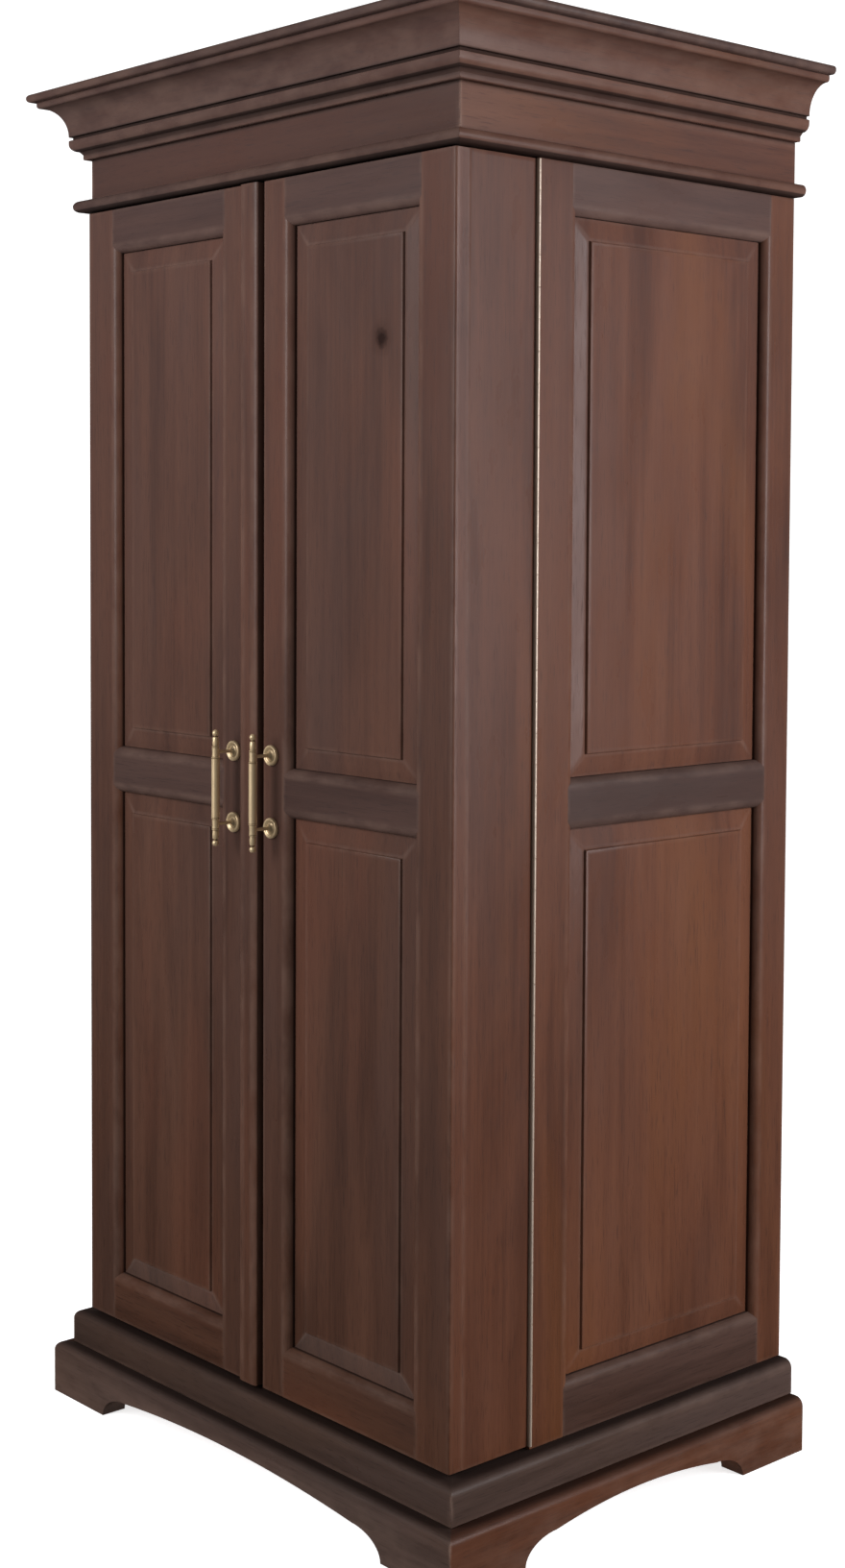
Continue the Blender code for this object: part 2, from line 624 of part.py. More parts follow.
def rebate_cutter(name, edge, pivot):
    """The step along the front of a door's meeting edge, beside the other door's strip."""
    low = Vector((edge - CUT_MARGIN, DOOR_FRONT - CUT_MARGIN, DOOR_BOTTOM - CUT_MARGIN))
    high = Vector((edge + MEETING_REBATE, DOOR_FRONT + MEETING_REBATE, DOOR_TOP + CUT_MARGIN))
    cutter = as_cutter(mesh_object(name, box_mesh(high - low), CUTTERS))
    place(cutter, pivot, (low + high) / 2)
    return cutter


def frame_board(name, low, high, cutters, parent, round_side=0):
    """A stile or rail of a door, moulded and grooved along the openings that it meets."""
    low, high = Vector(low), Vector(high)
    size = high - low
    bm = box_mesh(size)
    if round_side:
        def outer_corner(edge):
            """The upright edge at the front, on the hinge side."""
            return all(v.co.x * round_side > 0 and v.co.y < 0 for v in edge.verts)

        round_edges(bm, outer_corner, DOOR_CORNER_ROUND)
    obj = mesh_object(name, bm)
    place(obj, parent, (low + high) / 2)
    dress(obj, MAHOGANY)
    for cutter in cutters:
        combine(obj, cutter, "DIFFERENCE")


def build_door_front(side, pivot):
    """The panelled front frame of a door."""
    name = SIDE_NAMES[side] + "_door_"
    edge = meeting_edge(side)
    hinge_wall = HALF_WIDTH - HINGE_STILE_WIDTH
    half_gap = SEAT_GAP / 2
    middle_x = side * (PANEL_FROM_MIDDLE + hinge_wall) / 2
    width = hinge_wall - PANEL_FROM_MIDDLE

    cutters = []
    for level, opening in (("lower", LOWER_OPENING), ("upper", UPPER_OPENING)):
        centre = (middle_x, DOOR_FRONT, opening_centre(opening))
        cutter = opening_cutter(name + level + "_opening", width, opening_height(opening))
        place(cutter, pivot, centre)
        cutters.append(cutter)
        panel = raised_panel(name + level + "_panel", width, opening_height(opening), MAHOGANY)
        place(panel, pivot, centre)

    rebates = [rebate_cutter(name + "rebate", edge, pivot)] if side == RIGHT else []
    stiles = (
        ("hinge_stile", span(side, hinge_wall + half_gap, HALF_WIDTH), cutters, side),
        ("meeting_stile", span(side, edge, PANEL_FROM_MIDDLE - half_gap), cutters + rebates, 0),
    )
    for stile, (x0, x1), near, round_side in stiles:
        low, high = (x0, DOOR_FRONT, DOOR_BOTTOM), (x1, DOOR_FRAME_REAR, DOOR_TOP)
        frame_board(name + stile, low, high, near, pivot, round_side)
    x0, x1 = span(side, PANEL_FROM_MIDDLE + half_gap, hinge_wall - half_gap)
    rails = (
        ("bottom_rail", DOOR_BOTTOM, LOWER_OPENING[0], cutters[:1]),
        ("mid_rail", LOWER_OPENING[1], UPPER_OPENING[0], cutters),
        ("top_rail", UPPER_OPENING[1], DOOR_TOP, cutters[1:]),
    )
    for rail, z0, z1, near in rails:
        z0 += half_gap if rail != "bottom_rail" else 0.0
        z1 -= half_gap if rail != "top_rail" else 0.0
        frame_board(name + rail, (x0, DOOR_FRONT, z0), (x1, DOOR_FRAME_REAR, z1), near, pivot)


def build_strip(pivot):
    """The strip along the left door's meeting edge, with rounded shoulders."""
    half = MEETING_STRIP_WIDTH / 2
    shoulder = half - MEETING_STRIP_ROUND
    oval = (MEETING_STRIP_ROUND, MEETING_STRIP_REACH - MEETING_STRIP_EDGE)
    outline = [(-half, 0.0)]
    outline += arc((-shoulder, -MEETING_STRIP_EDGE), oval, 180.0, 270.0, ROUND_SEGMENTS)
    outline += arc((shoulder, -MEETING_STRIP_EDGE), oval, 270.0, 360.0, ROUND_SEGMENTS)
    outline += [(half, 0.0)]
    strip = extruded("left_door_meeting_strip", outline, DOOR_HEIGHT)
    strip_x = -meeting_edge(LEFT) - half
    place(strip, pivot, (strip_x, DOOR_FRONT - SEAT_GAP, (DOOR_BOTTOM + DOOR_TOP) / 2))
    dress(strip, MAHOGANY)


def build_door_box(side, pivot):
    """The boards behind a door's frame, its shelf and the guard rails that keep bottles in."""
    name = SIDE_NAMES[side] + "_door_"
    edge = meeting_edge(side)
    uprights = (
        ("meeting_side", span(side, edge, edge + DOOR_SIDE_THICKNESS), MAHOGANY_DARK),
        ("hinge_side", span(side, HALF_WIDTH - DOOR_SIDE_THICKNESS, HALF_WIDTH), MAHOGANY_SIDE),
    )
    for upright, (x0, x1), finish in uprights:
        board(name + upright, (x0, DOOR_BOX_FRONT, DOOR_BOTTOM), (x1, DOOR_REAR, DOOR_TOP), finish, pivot)

    clear = DOOR_SIDE_THICKNESS + SEAT_GAP
    x0, x1 = span(side, edge + clear, HALF_WIDTH - clear)
    shelf_bottom = MID_RAIL_CENTRE - DOOR_SHELF_THICKNESS / 2
    floor_top = DOOR_BOTTOM + DOOR_BOARD_THICKNESS
    levels = (
        ("bottom_board", DOOR_BOTTOM, floor_top, MAHOGANY_DARK),
        ("shelf", shelf_bottom, shelf_bottom + DOOR_SHELF_THICKNESS, INTERIOR_WOOD),
        ("top_board", DOOR_TOP - DOOR_BOARD_THICKNESS, DOOR_TOP, MAHOGANY_DARK),
    )
    for level, z0, z1, finish in levels:
        board(name + level, (x0, DOOR_BOX_FRONT, z0), (x1, DOOR_REAR, z1), finish, pivot)
    guards = (("lower_guard", floor_top), ("upper_guard", shelf_bottom + DOOR_SHELF_THICKNESS))
    for guard, seat in guards:
        z0 = seat + DOOR_GUARD_RISE
        z1 = z0 + DOOR_GUARD_HEIGHT
        board(name + guard, (x0, DOOR_REAR - DOOR_GUARD_THICKNESS, z0), (x1, DOOR_REAR, z1),
              INTERIOR_WOOD, pivot)


def build_handle(side, pivot):
    """A bar pull: the turned bar, and two turned posts with dished rosettes."""
    name = SIDE_NAMES[side] + "_handle_"
    x = side * HANDLE_FROM_MIDDLE
    bar_y = DOOR_FRONT - HANDLE_STANDOFF
    post = HANDLE_CENTRES / 2
    end = HANDLE_LENGTH / 2
    ball = end - HANDLE_FINIAL_RADIUS
    ball_angle = math.degrees(math.acos(HANDLE_NECK_RADIUS / HANDLE_FINIAL_RADIUS))
    ball_radii = (HANDLE_FINIAL_RADIUS, HANDLE_FINIAL_RADIUS)
    collar_in = post - HANDLE_COLLAR_HALF
    collar_out = post + HANDLE_COLLAR_HALF
    half = [(0.0, end)] + arc((0.0, ball), ball_radii, 90.0, -ball_angle, COVE_STEPS)[1:]
    half += [(HANDLE_NECK_RADIUS, half[-1][1] - HANDLE_GROOVE)]
    half += [(HANDLE_END_RADIUS, half[-1][1] - HANDLE_GROOVE)]
    half += [(HANDLE_END_RADIUS, collar_out + 2 * HANDLE_GROOVE)]
    half += [(HANDLE_END_RADIUS - HANDLE_GROOVE / 2, collar_out + HANDLE_GROOVE)]
    half += [(HANDLE_COLLAR_RADIUS, collar_out), (HANDLE_COLLAR_RADIUS, collar_in)]
    half += [(HANDLE_COLLAR_RADIUS - HANDLE_GROOVE / 2, collar_in - HANDLE_GROOVE)]
    half += [(HANDLE_BAR_RADIUS, collar_in - 2 * HANDLE_GROOVE)]
    profile = half + [(radius, -height) for radius, height in reversed(half)]
    bar = turned(name + "bar", [(profile, False)], TURNED_STEPS)
    place(bar, pivot, (x, bar_y, MID_RAIL_CENTRE))
    dress(bar, BRASS)

    length = HANDLE_STANDOFF - HANDLE_COLLAR_RADIUS - SEAT_GAP
    inner = (ROSETTE_RADIUS + POST_RADIUS) / 2
    profile = [(0.0, length), (POST_RADIUS, length), (POST_RADIUS, ROSETTE_CREST + ROSETTE_DISH)]
    profile += [(POST_FLARE_RADIUS, ROSETTE_CREST), (inner, ROSETTE_DISH)]
    profile += [((inner + ROSETTE_RADIUS) / 2, ROSETTE_CREST)]
    profile += [(ROSETTE_RADIUS, ROSETTE_EDGE), (ROSETTE_RADIUS, SEAT_GAP), (0.0, SEAT_GAP)]
    for level, offset in (("upper", post), ("lower", -post)):
        rod = turned("%s%s_post" % (name, level), [(profile, False)], TURNED_STEPS)
        place(rod, pivot, (x, DOOR_FRONT, MID_RAIL_CENTRE + offset), (math.radians(90.0), 0.0, 0.0))
        dress(rod, BRASS)


def knuckles(first):
    """Heights of every second knuckle of the hinge, from the door's bottom."""
    pitch = DOOR_HEIGHT / HINGE_KNUCKLES
    half_gap = SEAT_GAP / 2
    return [(i * pitch + half_gap, (i + 1) * pitch - half_gap) for i in range(first, HINGE_KNUCKLES, 2)]


def leaf_outline(side, spans, tab_end):
    """Outline of a hinge leaf in (x, height): a strip with a tab at each knuckle, x from the hinge axis."""
    edge = -AXIS_OUT
    inner = edge - HINGE_LEAF_WIDTH
    points = [(inner, DOOR_HEIGHT), (inner, 0.0), (edge, 0.0)]
    for low, high in spans:
        points += [(edge, low), (tab_end, low), (tab_end, high), (edge, high)]
    points.append((edge, DOOR_HEIGHT))
    clean = [point for i, point in enumerate(points) if point != points[i - 1]]
    return [(side * x, z) for x, z in clean]


def build_hinge(side, cabinet, pivot):
    """A continuous hinge: the carcass leaf carries the pin, the door leaf has bored knuckles."""
    name = SIDE_NAMES[side] + "_hinge_"
    axis = (side * (HALF_WIDTH + AXIS_OUT), HINGE_Y, DOOR_BOTTOM)
    upright = (math.radians(90.0), 0.0, 0.0)
    leaf_offset = (HINGE_LEAF_GAP + HINGE_LEAF_THICKNESS) / 2
    wall = HINGE_BARREL_RADIUS - HINGE_PIN_RADIUS - HINGE_PIN_CLEARANCE

    fixed = knuckles(0)
    profile = [(0.0, fixed[-1][1])]
    for low, high in reversed(fixed):
        profile += [(HINGE_PIN_RADIUS, high), (HINGE_BARREL_RADIUS, high), (HINGE_BARREL_RADIUS, low),
                    (HINGE_PIN_RADIUS, low)]
    profile = [profile[0]] + profile[2:-1] + [(0.0, fixed[0][0])]
    barrel = as_cutter(turned(name + "pin_and_knuckles", [(profile, False)], HINGE_STEPS, CUTTERS))
    place(barrel, cabinet, axis)
    leaf = extruded(name + "carcass_leaf", leaf_outline(side, fixed, 0.0), HINGE_LEAF_THICKNESS)
    place(leaf, cabinet, (axis[0], axis[1] + leaf_offset, axis[2]), upright)
    dress(leaf, BRASS)
    combine(leaf, barrel, "UNION")

    moving = knuckles(1)
    inner = HINGE_BARREL_RADIUS - wall
    tubes = [([(HINGE_BARREL_RADIUS, high), (HINGE_BARREL_RADIUS, low), (inner, low), (inner, high)], True)
             for low, high in moving]
    barrel = as_cutter(turned(name + "bored_knuckles", tubes, HINGE_STEPS, CUTTERS))
    place(barrel, pivot, axis)
    tab_end = -HINGE_BARREL_RADIUS + wall / 2
    leaf = extruded(name + "door_leaf", leaf_outline(side, moving, tab_end), HINGE_LEAF_THICKNESS)
    place(leaf, pivot, (axis[0], axis[1] - leaf_offset, axis[2]), upright)
    dress(leaf, BRASS)
    combine(leaf, barrel, "UNION")


def build():
    """Build the whole cabinet."""
    cabinet = empty("cabinet_origin", (0.0, 0.0, 0.0))
    build_base(cabinet)
    build_carcass(cabinet)
    build_top(cabinet)
    for side in (LEFT, RIGHT):
        build_side(side, cabinet)
        axis = (side * (HALF_WIDTH + AXIS_OUT), HINGE_Y, DOOR_BOTTOM)
        pivot = empty(SIDE_NAMES[side] + "_door_axis", axis)
        build_door_front(side, pivot)
        if side == LEFT:
            build_strip(pivot)
        build_door_box(side, pivot)
        build_handle(side, pivot)
        build_hinge(side, cabinet, pivot)


build()
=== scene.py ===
"""The wine cabinet dressed for its picture: fine joinery, turned brass and waxed mahogany in a pale studio.

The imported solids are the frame. Every piece below is cut to the box of the solid that it stands for, so it
sits where the solid sits and moves with the same body. Lengths are in metres.
"""
from __future__ import annotations

import json
import logging
import math
from dataclasses import dataclass
from enum import Enum
from typing import Callable, ClassVar, Optional, Sequence

import bmesh
import bpy
from bmesh.types import BMEdge, BMesh, BMVert
from mathutils import Matrix, Vector

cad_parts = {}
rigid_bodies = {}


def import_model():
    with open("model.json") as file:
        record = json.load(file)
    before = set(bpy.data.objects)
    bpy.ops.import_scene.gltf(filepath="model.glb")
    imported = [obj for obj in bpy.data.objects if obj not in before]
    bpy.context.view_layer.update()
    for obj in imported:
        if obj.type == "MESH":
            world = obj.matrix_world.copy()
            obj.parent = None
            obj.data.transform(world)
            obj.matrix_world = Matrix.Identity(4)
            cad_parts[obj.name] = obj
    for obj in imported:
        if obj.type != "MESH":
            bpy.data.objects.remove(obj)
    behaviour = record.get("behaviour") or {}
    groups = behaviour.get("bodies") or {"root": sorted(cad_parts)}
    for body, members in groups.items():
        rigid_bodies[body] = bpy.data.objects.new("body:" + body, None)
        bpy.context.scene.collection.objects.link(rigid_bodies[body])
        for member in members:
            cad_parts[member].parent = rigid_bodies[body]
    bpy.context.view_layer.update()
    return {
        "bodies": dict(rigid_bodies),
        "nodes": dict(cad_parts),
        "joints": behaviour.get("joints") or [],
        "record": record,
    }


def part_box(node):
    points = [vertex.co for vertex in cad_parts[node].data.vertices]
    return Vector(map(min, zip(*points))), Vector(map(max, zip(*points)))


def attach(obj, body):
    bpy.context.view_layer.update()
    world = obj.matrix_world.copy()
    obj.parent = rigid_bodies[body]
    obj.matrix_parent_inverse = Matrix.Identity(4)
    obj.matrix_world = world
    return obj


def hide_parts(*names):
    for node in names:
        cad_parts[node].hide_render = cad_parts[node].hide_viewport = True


LOG = logging.getLogger("wine_cabinet")
Triple = tuple[float, float, float]
Colour = Triple
Point = tuple[float, float]
Spot = Sequence[float]
Amount = Callable[[Vector], float]
Socket = bpy.types.NodeSocket

# A name, a colour, a place and ways that several pieces use
CARCASS = "carcass"
WHITE = (1.0, 1.0, 1.0, 1.0)
ORIGIN = (0.0, 0.0, 0.0)
UP = Vector((0.0, 0.0, 1.0))
DOWN = -UP

# Limits, angles, amounts and small lengths that several pieces share
TOUCH = 1e-6
SAME_WAY = 0.99
SHADE_ANGLE = math.radians(36.0)
SHARP_ANGLE = math.radians(50.0)
WORN_ANGLE = math.radians(45.0)
CREASE_ANGLE = math.radians(60.0)
SUPPORT_INSET = 0.005
BROAD_FACE = 1.4 * SUPPORT_INSET
RUB_WIDTH = 0.0025
EASY_WEAR = 0.16
JOINT_SLIP = 0.0002
ARRIS = 0.001

# How far the grain of each board lies from that of the board before it
SEED_STEP = 3
FIRST_SEED = 5

# Places of the colour sockets on a Mix node
FIRST_COLOUR = 6
SECOND_COLOUR = 7
MIXED_COLOUR = 2


class Grain(Enum):
    """The way that the fibres of a board run."""

    ALONG_X = (0.0, math.pi / 2, 0.0)
    ALONG_Y = (math.pi / 2, 0.0, 0.0)
    ALONG_Z = (0.0, 0.0, 0.0)


class Side(Enum):
    """One half of the cabinet, with the sign of its x."""

    LEFT = -1
    RIGHT = 1

    @property
    def word(self) -> str:
        """The word that node names begin with."""
        return self.name.lower()


@dataclass(frozen=True)
class Pattern:
    """A noise, with the shares of its scale that hold along the grain and across it."""

    along: float
    scale: float
    detail: float
    rough: float
    distortion: float = 0.0
    across: float = 1.0


FIBRE = Pattern(0.025, 420.0, 3.0, 0.6)
PORE = Pattern(0.045, 760.0, 2.0, 0.5)
PATCH = Pattern(0.5, 38.0, 4.0, 0.6)
SMEAR = Pattern(0.35, 16.0, 5.0, 0.6)
FIGURE = Pattern(0.14, 8.5, 5.0, 0.55, 0.8)
STREAK = Pattern(0.020, 95.0, 6.0, 0.62, 0.2)
HUE = Pattern(0.22, 6.0, 3.0, 0.5, 0.4)
CLOUD = Pattern(0.10, 15.0, 4.0, 0.55, 0.5)
RAGGED = Pattern(1.0, 120.0, 3.0, 0.6)
TARNISH = Pattern(1.0, 60.0, 3.0, 0.5)
LATHE = Pattern(1.0, 2600.0, 2.0, 0.5, across=0.3)
MOTTLE = Pattern(1.0, 3.0, 3.0, 0.5)


class Tree:
    """A short way to write the nodes of a material or of the world."""

    def __init__(self, owner: bpy.types.ID, shader: str = "Principled BSDF") -> None:
        """Start from the nodes that a new material or world has.

        Args:
            owner: the material or the world.
            shader: the name of its shader node.
        """
        owner.use_nodes = True
        self.owner = owner
        self.nodes = owner.node_tree.nodes
        self.links = owner.node_tree.links
        self.shader = self.nodes[shader]

    def feed(self, socket: Socket, value: object) -> None:
        """Link an output to a socket, or set the socket's value.

        Args:
            socket: the socket.
            value: an output of another node, or a plain value.
        """
        if isinstance(value, Socket):
            self.links.new(value, socket)
        else:
            socket.default_value = value

    def fill(self, node: bpy.types.Node, **inputs: object) -> bpy.types.Node:
        """Feed several sockets of a node.

        Args:
            node: the node.
            inputs: socket values or links, by socket name with _ for a space.

        Returns:
            The same node.
        """
        for key, value in inputs.items():
            self.feed(node.inputs[key.replace("_", " ")], value)
        return node

    def add(self, kind: str, settings: Optional[dict] = None, **inputs: object) -> bpy.types.Node:
        """Add a node.

        Args:
            kind: the node's type name, without its ShaderNode prefix.
            settings: plain properties of the node.
            inputs: socket values or links, by socket name with _ for a space.

        Returns:
            The new node.
        """
        node = self.nodes.new("ShaderNode" + kind)
        for key, value in (settings or {}).items():
            setattr(node, key, value)
        return self.fill(node, **inputs)

    def coordinates(self, **change: object) -> Socket:
        """Object coordinates, turned or shifted by the sockets of a Mapping node."""
        source = self.add("TexCoord").outputs["Object"]
        return self.add("Mapping", Vector=source, **change).outputs["Vector"]

    def part(self, vector: Socket, axis: str) -> Socket:
        """One component of a vector."""
        return self.add("SeparateXYZ", Vector=vector).outputs[axis]

    def noise(self, vector: Socket, pattern: Pattern) -> Socket:
        """A noise on the given coordinates.

        Args:
            vector: the coordinates, with Z along the grain.
            pattern: how fine and how drawn out the noise is.

        Returns:
            The noise.
        """
        scale = (pattern.across, pattern.across, pattern.along)
        drawn = self.add("Mapping", Vector=vector, Scale=scale).outputs["Vector"]
        return self.add("TexNoise", Vector=drawn, Scale=pattern.scale, Detail=pattern.detail,
                        Roughness=pattern.rough, Distortion=pattern.distortion).outputs["Fac"]

    def between(self, value: Socket, low: float, high: float, to_low: object = 0.0, to_high: object = 1.0,
                interpolation: str = "LINEAR") -> Socket:
        """A value carried from one range to another, and held at its ends."""
        return self.add("MapRange", {"interpolation_type": interpolation}, Value=value, From_Min=low,
                        From_Max=high, To_Min=to_low, To_Max=to_high).outputs["Result"]

    def math(self, operation: str, a: object, b: object = 0.0) -> Socket:
        """One arithmetic step.

        Args:
            operation: the name of the step.
            a: the first value or link.
            b: the second value or link.

        Returns:
            The result.
        """
        node = self.add("Math", {"operation": operation})
        self.feed(node.inputs[0], a)
        self.feed(node.inputs[1], b)
        return node.outputs[0]

    def times(self, a: object, b: object) -> Socket:
        """A product."""
        return self.math("MULTIPLY", a, b)

    def ramp(self, value: Socket, stops: Sequence[tuple[float, Colour]]) -> Socket:
        """A value turned into a colour.

        Args:
            value: the value, from 0 to 1.
            stops: places on the ramp, with their colours.

        Returns:
            The colour.
        """
        node = self.add("ValToRGB", Fac=value)
        elements = node.color_ramp.elements
        while len(elements) < len(stops):
            elements.new(0.5)
        for element, (place, colour) in zip(elements, stops):
            element.position = place
            element.color = (*colour, 1.0)
        return node.outputs["Color"]

    def mix(self, factor: object, first: object, second: object) -> Socket:
        """Two colours mixed.

        Args:
            factor: how much of the second colour shows.
            first: a colour or a link.
            second: a colour or a link.

        Returns:
            The mixed colour.
        """
        node = self.add("Mix", {"data_type": "RGBA"}, Factor=factor)
        for socket, value in ((node.inputs[FIRST_COLOUR], first), (node.inputs[SECOND_COLOUR], second)):
            self.feed(socket, (*value, 1.0) if isinstance(value, tuple) else value)
        return node.outputs[MIXED_COLOUR]

    def attribute(self, name: str) -> Socket:
        """A value that the mesh carries at its points."""
        return self.add("Attribute", {"attribute_name": name}).outputs["Fac"]


@dataclass(frozen=True)
class Knot:
    """A small dark knot in a board."""

    place: Triple
    radius: float
    shape: Triple = (1.0, 0.2, 0.9)
    heart: Colour = (0.012, 0.004, 0.003)
    heart_depth: float = 0.82
    halo_depth: float = 0.35
    ragged: float = 0.002


@dataclass(frozen=True)
class WoodFinish:
    """Stained and waxed mahogany, with a painted sheen: a greyish colour mixed in more towards the top."""

    slot: str
    dark: Colour
    middle: Colour
    light: Colour
    amber: Colour
    plum: Colour
    # How strong the painted sheen is at the top. It fades out towards the bottom.
    painted_sheen: float = 0.085
    roughness: float = 0.30
    gloss: float = 0.11
    wash: float = 0.55
    pore_depth: float = 0.40
    fibre_light: float = 0.18
    worn: Colour = (0.27, 0.170, 0.130)
    # The colour of the painted sheen.
    sheen_colour: Colour = (0.36, 0.26, 0.27)
    # The colour of the painted shade in creases and recesses, with some old polish in the joints.
    shade_and_polish_colour: Colour = (0.010, 0.0045, 0.0035)
    # The colour of the painted reflection on the lower bevels of panels.
    dusty: Colour = (0.26, 0.28, 0.28)
    shifts: tuple[Point, ...] = ((0.731, 7.0), (0.417, 5.0), (0.293, 3.0))

    def material(self, piece: str, grain: Grain, seed: int, tone: float = 1.0, knot: Optional[Knot] = None,
                 flank: Optional[WoodFinish] = None, dirt: float = 0.75,
                 dust: float = 0.0) -> bpy.types.Material:
        """Make the wood of one board.

        Args:
            piece: the board's name.
            grain: the way that its fibres run.
            seed: a number that sets which stretch of the tree the board comes from.
            tone: how light the board is against the others.
            knot: a knot to show, if the board has one.
            flank: a lighter, redder wood painted on the faces that look sideways, as painted side light.
            dirt: how dark the painted shade in the corners and creases is, with some old polish in the
                joints.
            dust: how strong the painted reflection on a panel's lower bevel is.

        Returns:
            The material.
        """
        tree = Tree(bpy.data.materials.new(piece + "_wood"))
        shift = tuple(rate * seed % period for rate, period in self.shifts)
        along = tree.coordinates(Rotation=grain.value, Location=shift)
        fibre = tree.noise(along, FIBRE)
        pore = tree.between(tree.noise(along, PORE), 0.58, 0.68)

        colour = self.figure(tree, along, tone)
        # Painted side light: faces that look sideways get the side's lighter, redder wood.
        if flank is not None:
            facing = tree.math("ABSOLUTE", tree.part(tree.add("TexCoord").outputs["Normal"], "X"))
            colour = tree.mix(tree.between(facing, 0.55, 0.85), colour, flank.figure(tree, along, 1.0))
        shine = tree.between(fibre, 0.45, 0.75, 0.0, self.fibre_light)
        colour = tree.mix(shine, colour, self.toned(self.light, tone))
        colour = tree.mix(tree.times(pore, self.pore_depth), colour, self.toned(self.dark, 0.5 * tone))
        # Painted sheen: a greyish colour mixed in more and more towards the top.
        sheen = tree.between(tree.part(tree.coordinates(), "Z"), 0.1, 1.85, 0.0, self.painted_sheen)
        colour = tree.mix(sheen, colour, self.sheen_colour)
        # Painted reflection: the lower bevels of panels are made greyer.
        if dust:
            colour = tree.mix(tree.times(tree.attribute("lower_bevel"), dust), colour, self.dusty)
        if knot is not None:
            colour = self.with_knot(tree, colour, knot)
        patch = tree.between(tree.noise(along, PATCH), 0.35, 0.65, 0.15, 1.0)
        colour = tree.mix(tree.times(tree.attribute("wear"), patch), colour, self.worn)
        # Painted shade in creases and recesses, with some old polish in the joints.
        tucked = tree.math("POWER", tree.attribute("crease"), 1.6)
        colour = tree.mix(tree.times(tucked, dirt), colour, self.shade_and_polish_colour)

        smear = tree.noise(along, SMEAR)
        matt = tree.math("ADD", tree.between(smear, 0.30, 0.70, self.roughness - 0.06, self.roughness + 0.08),
                         tree.times(pore, 0.12))
        matt = tree.math("ADD", matt, tree.times(tucked, 0.5))
        relief = tree.math("SUBTRACT", tree.times(fibre, 0.35), tree.times(pore, 0.8))
        bump = tree.add("Bump", Height=relief, Strength=0.10, Distance=0.0004).outputs["Normal"]
        tree.fill(tree.shader, Base_Color=colour, Roughness=matt, Normal=bump, Specular_IOR_Level=self.gloss)
        return tree.owner

    def figure(self, tree: Tree, along: Socket, tone: float) -> Socket:
        """The broad look of the board: figure, streaks, warm and cool patches and dark clouds.

        Args:
            tree: the material.
            along: coordinates with Z along the grain.
            tone: how light the board is.

        Returns:
            The colour.
        """
        value = tree.math("ADD", tree.between(tree.noise(along, FIGURE), 0.28, 0.72, 0.15, 0.85),
                          tree.between(tree.noise(along, STREAK), 0.28, 0.72, -0.16, 0.16))
        stops = ((0.05, self.dark), (0.5, self.middle), (0.95, self.light))
        colour = tree.ramp(value, [(place, self.toned(wood, tone)) for place, wood in stops])
        hue, cloud = tree.noise(along, HUE), tree.noise(along, CLOUD)
        washes = ((hue, 0.52, 0.72, self.amber), (hue, 0.48, 0.28, self.plum),
                  (cloud, 0.56, 0.74, self.toned(self.dark, 0.9)))
        for noise, low, high, wood in washes:
            colour = tree.mix(tree.between(noise, low, high, 0.0, self.wash), colour, self.toned(wood, tone))
        return colour

    @staticmethod
    def toned(colour: Colour, tone: float) -> Colour:
        """A colour made lighter or darker."""
        return (colour[0] * tone, colour[1] * tone, colour[2] * tone)

    def with_knot(self, tree: Tree, colour: Socket, knot: Knot) -> Socket:
        """Add a knot, with the grain dark around it.

        Args:
            tree: the material.
            colour: the wood without the knot.
            knot: its place and size.

        Returns:
            The wood with the knot.
        """
        local = tree.coordinates(Location=tuple(-value for value in knot.place))
        length = tree.add("VectorMath", {"operation": "LENGTH"})
        tree.feed(length.inputs[0], tree.add("Mapping", Vector=local, Scale=knot.shape).outputs["Vector"])
        ragged = tree.noise(tree.coordinates(), RAGGED)
        reach = tree.math("ADD", length.outputs["Value"],
                          tree.between(ragged, 0.3, 0.7, -knot.ragged, knot.ragged))
        halo = tree.between(reach, knot.radius * 0.9, knot.radius * 2.4, knot.halo_depth, 0.0)
        heart = tree.between(reach, knot.radius * 0.5, knot.radius * 1.3, knot.heart_depth, 0.0)
        return tree.mix(heart, tree.mix(halo, colour, self.dark), knot.heart)


@dataclass(frozen=True)
class BrassFinish:
    """Lacquered brass, a little dull in its grooves."""

    slot: str = "brass"
    bright: Colour = (0.76, 0.57, 0.34)
    dull: Colour = (0.58, 0.41, 0.22)
    roughness: float = 0.34
    metal: float = 0.5
    dulling: float = 0.2
    groove: Colour = (0.10, 0.055, 0.022)
    shifts: tuple[Point, ...] = ((0.37, 3.0), (0.53, 3.0), (0.0, 1.0))

    def material(self, piece: str, seed: int) -> bpy.types.Material:
        """Make the brass of one fitting.

        Args:
            piece: the fitting's name.
            seed: a number that shifts the pattern.

        Returns:
            The material.
        """
        tree = Tree(bpy.data.materials.new(piece + "_brass"))
        place = tree.coordinates(Location=tuple(rate * seed % period for rate, period in self.shifts))
        cloud = tree.noise(place, TARNISH)
        tarnish = tree.times(tree.between(cloud, 0.42, 0.72), self.dulling)
        colour = tree.mix(tarnish, self.bright, self.dull)
        colour = tree.mix(tree.attribute("crease"), colour, self.groove)
        matt = tree.math("ADD", tree.between(cloud, 0.3, 0.7, self.roughness - 0.05, self.roughness + 0.12),
                         tree.between(tree.noise(place, LATHE), 0.3, 0.7, -0.03, 0.03))
        tree.fill(tree.shader, Base_Color=colour, Roughness=matt, Metallic=self.metal)
        return tree.owner


FRONT_WOOD = WoodFinish("mahogany", (0.034, 0.0145, 0.0090), (0.067, 0.0280, 0.0165),
                        (0.092, 0.0395, 0.0230), (0.108, 0.0355, 0.0180), (0.056, 0.0300, 0.0230))
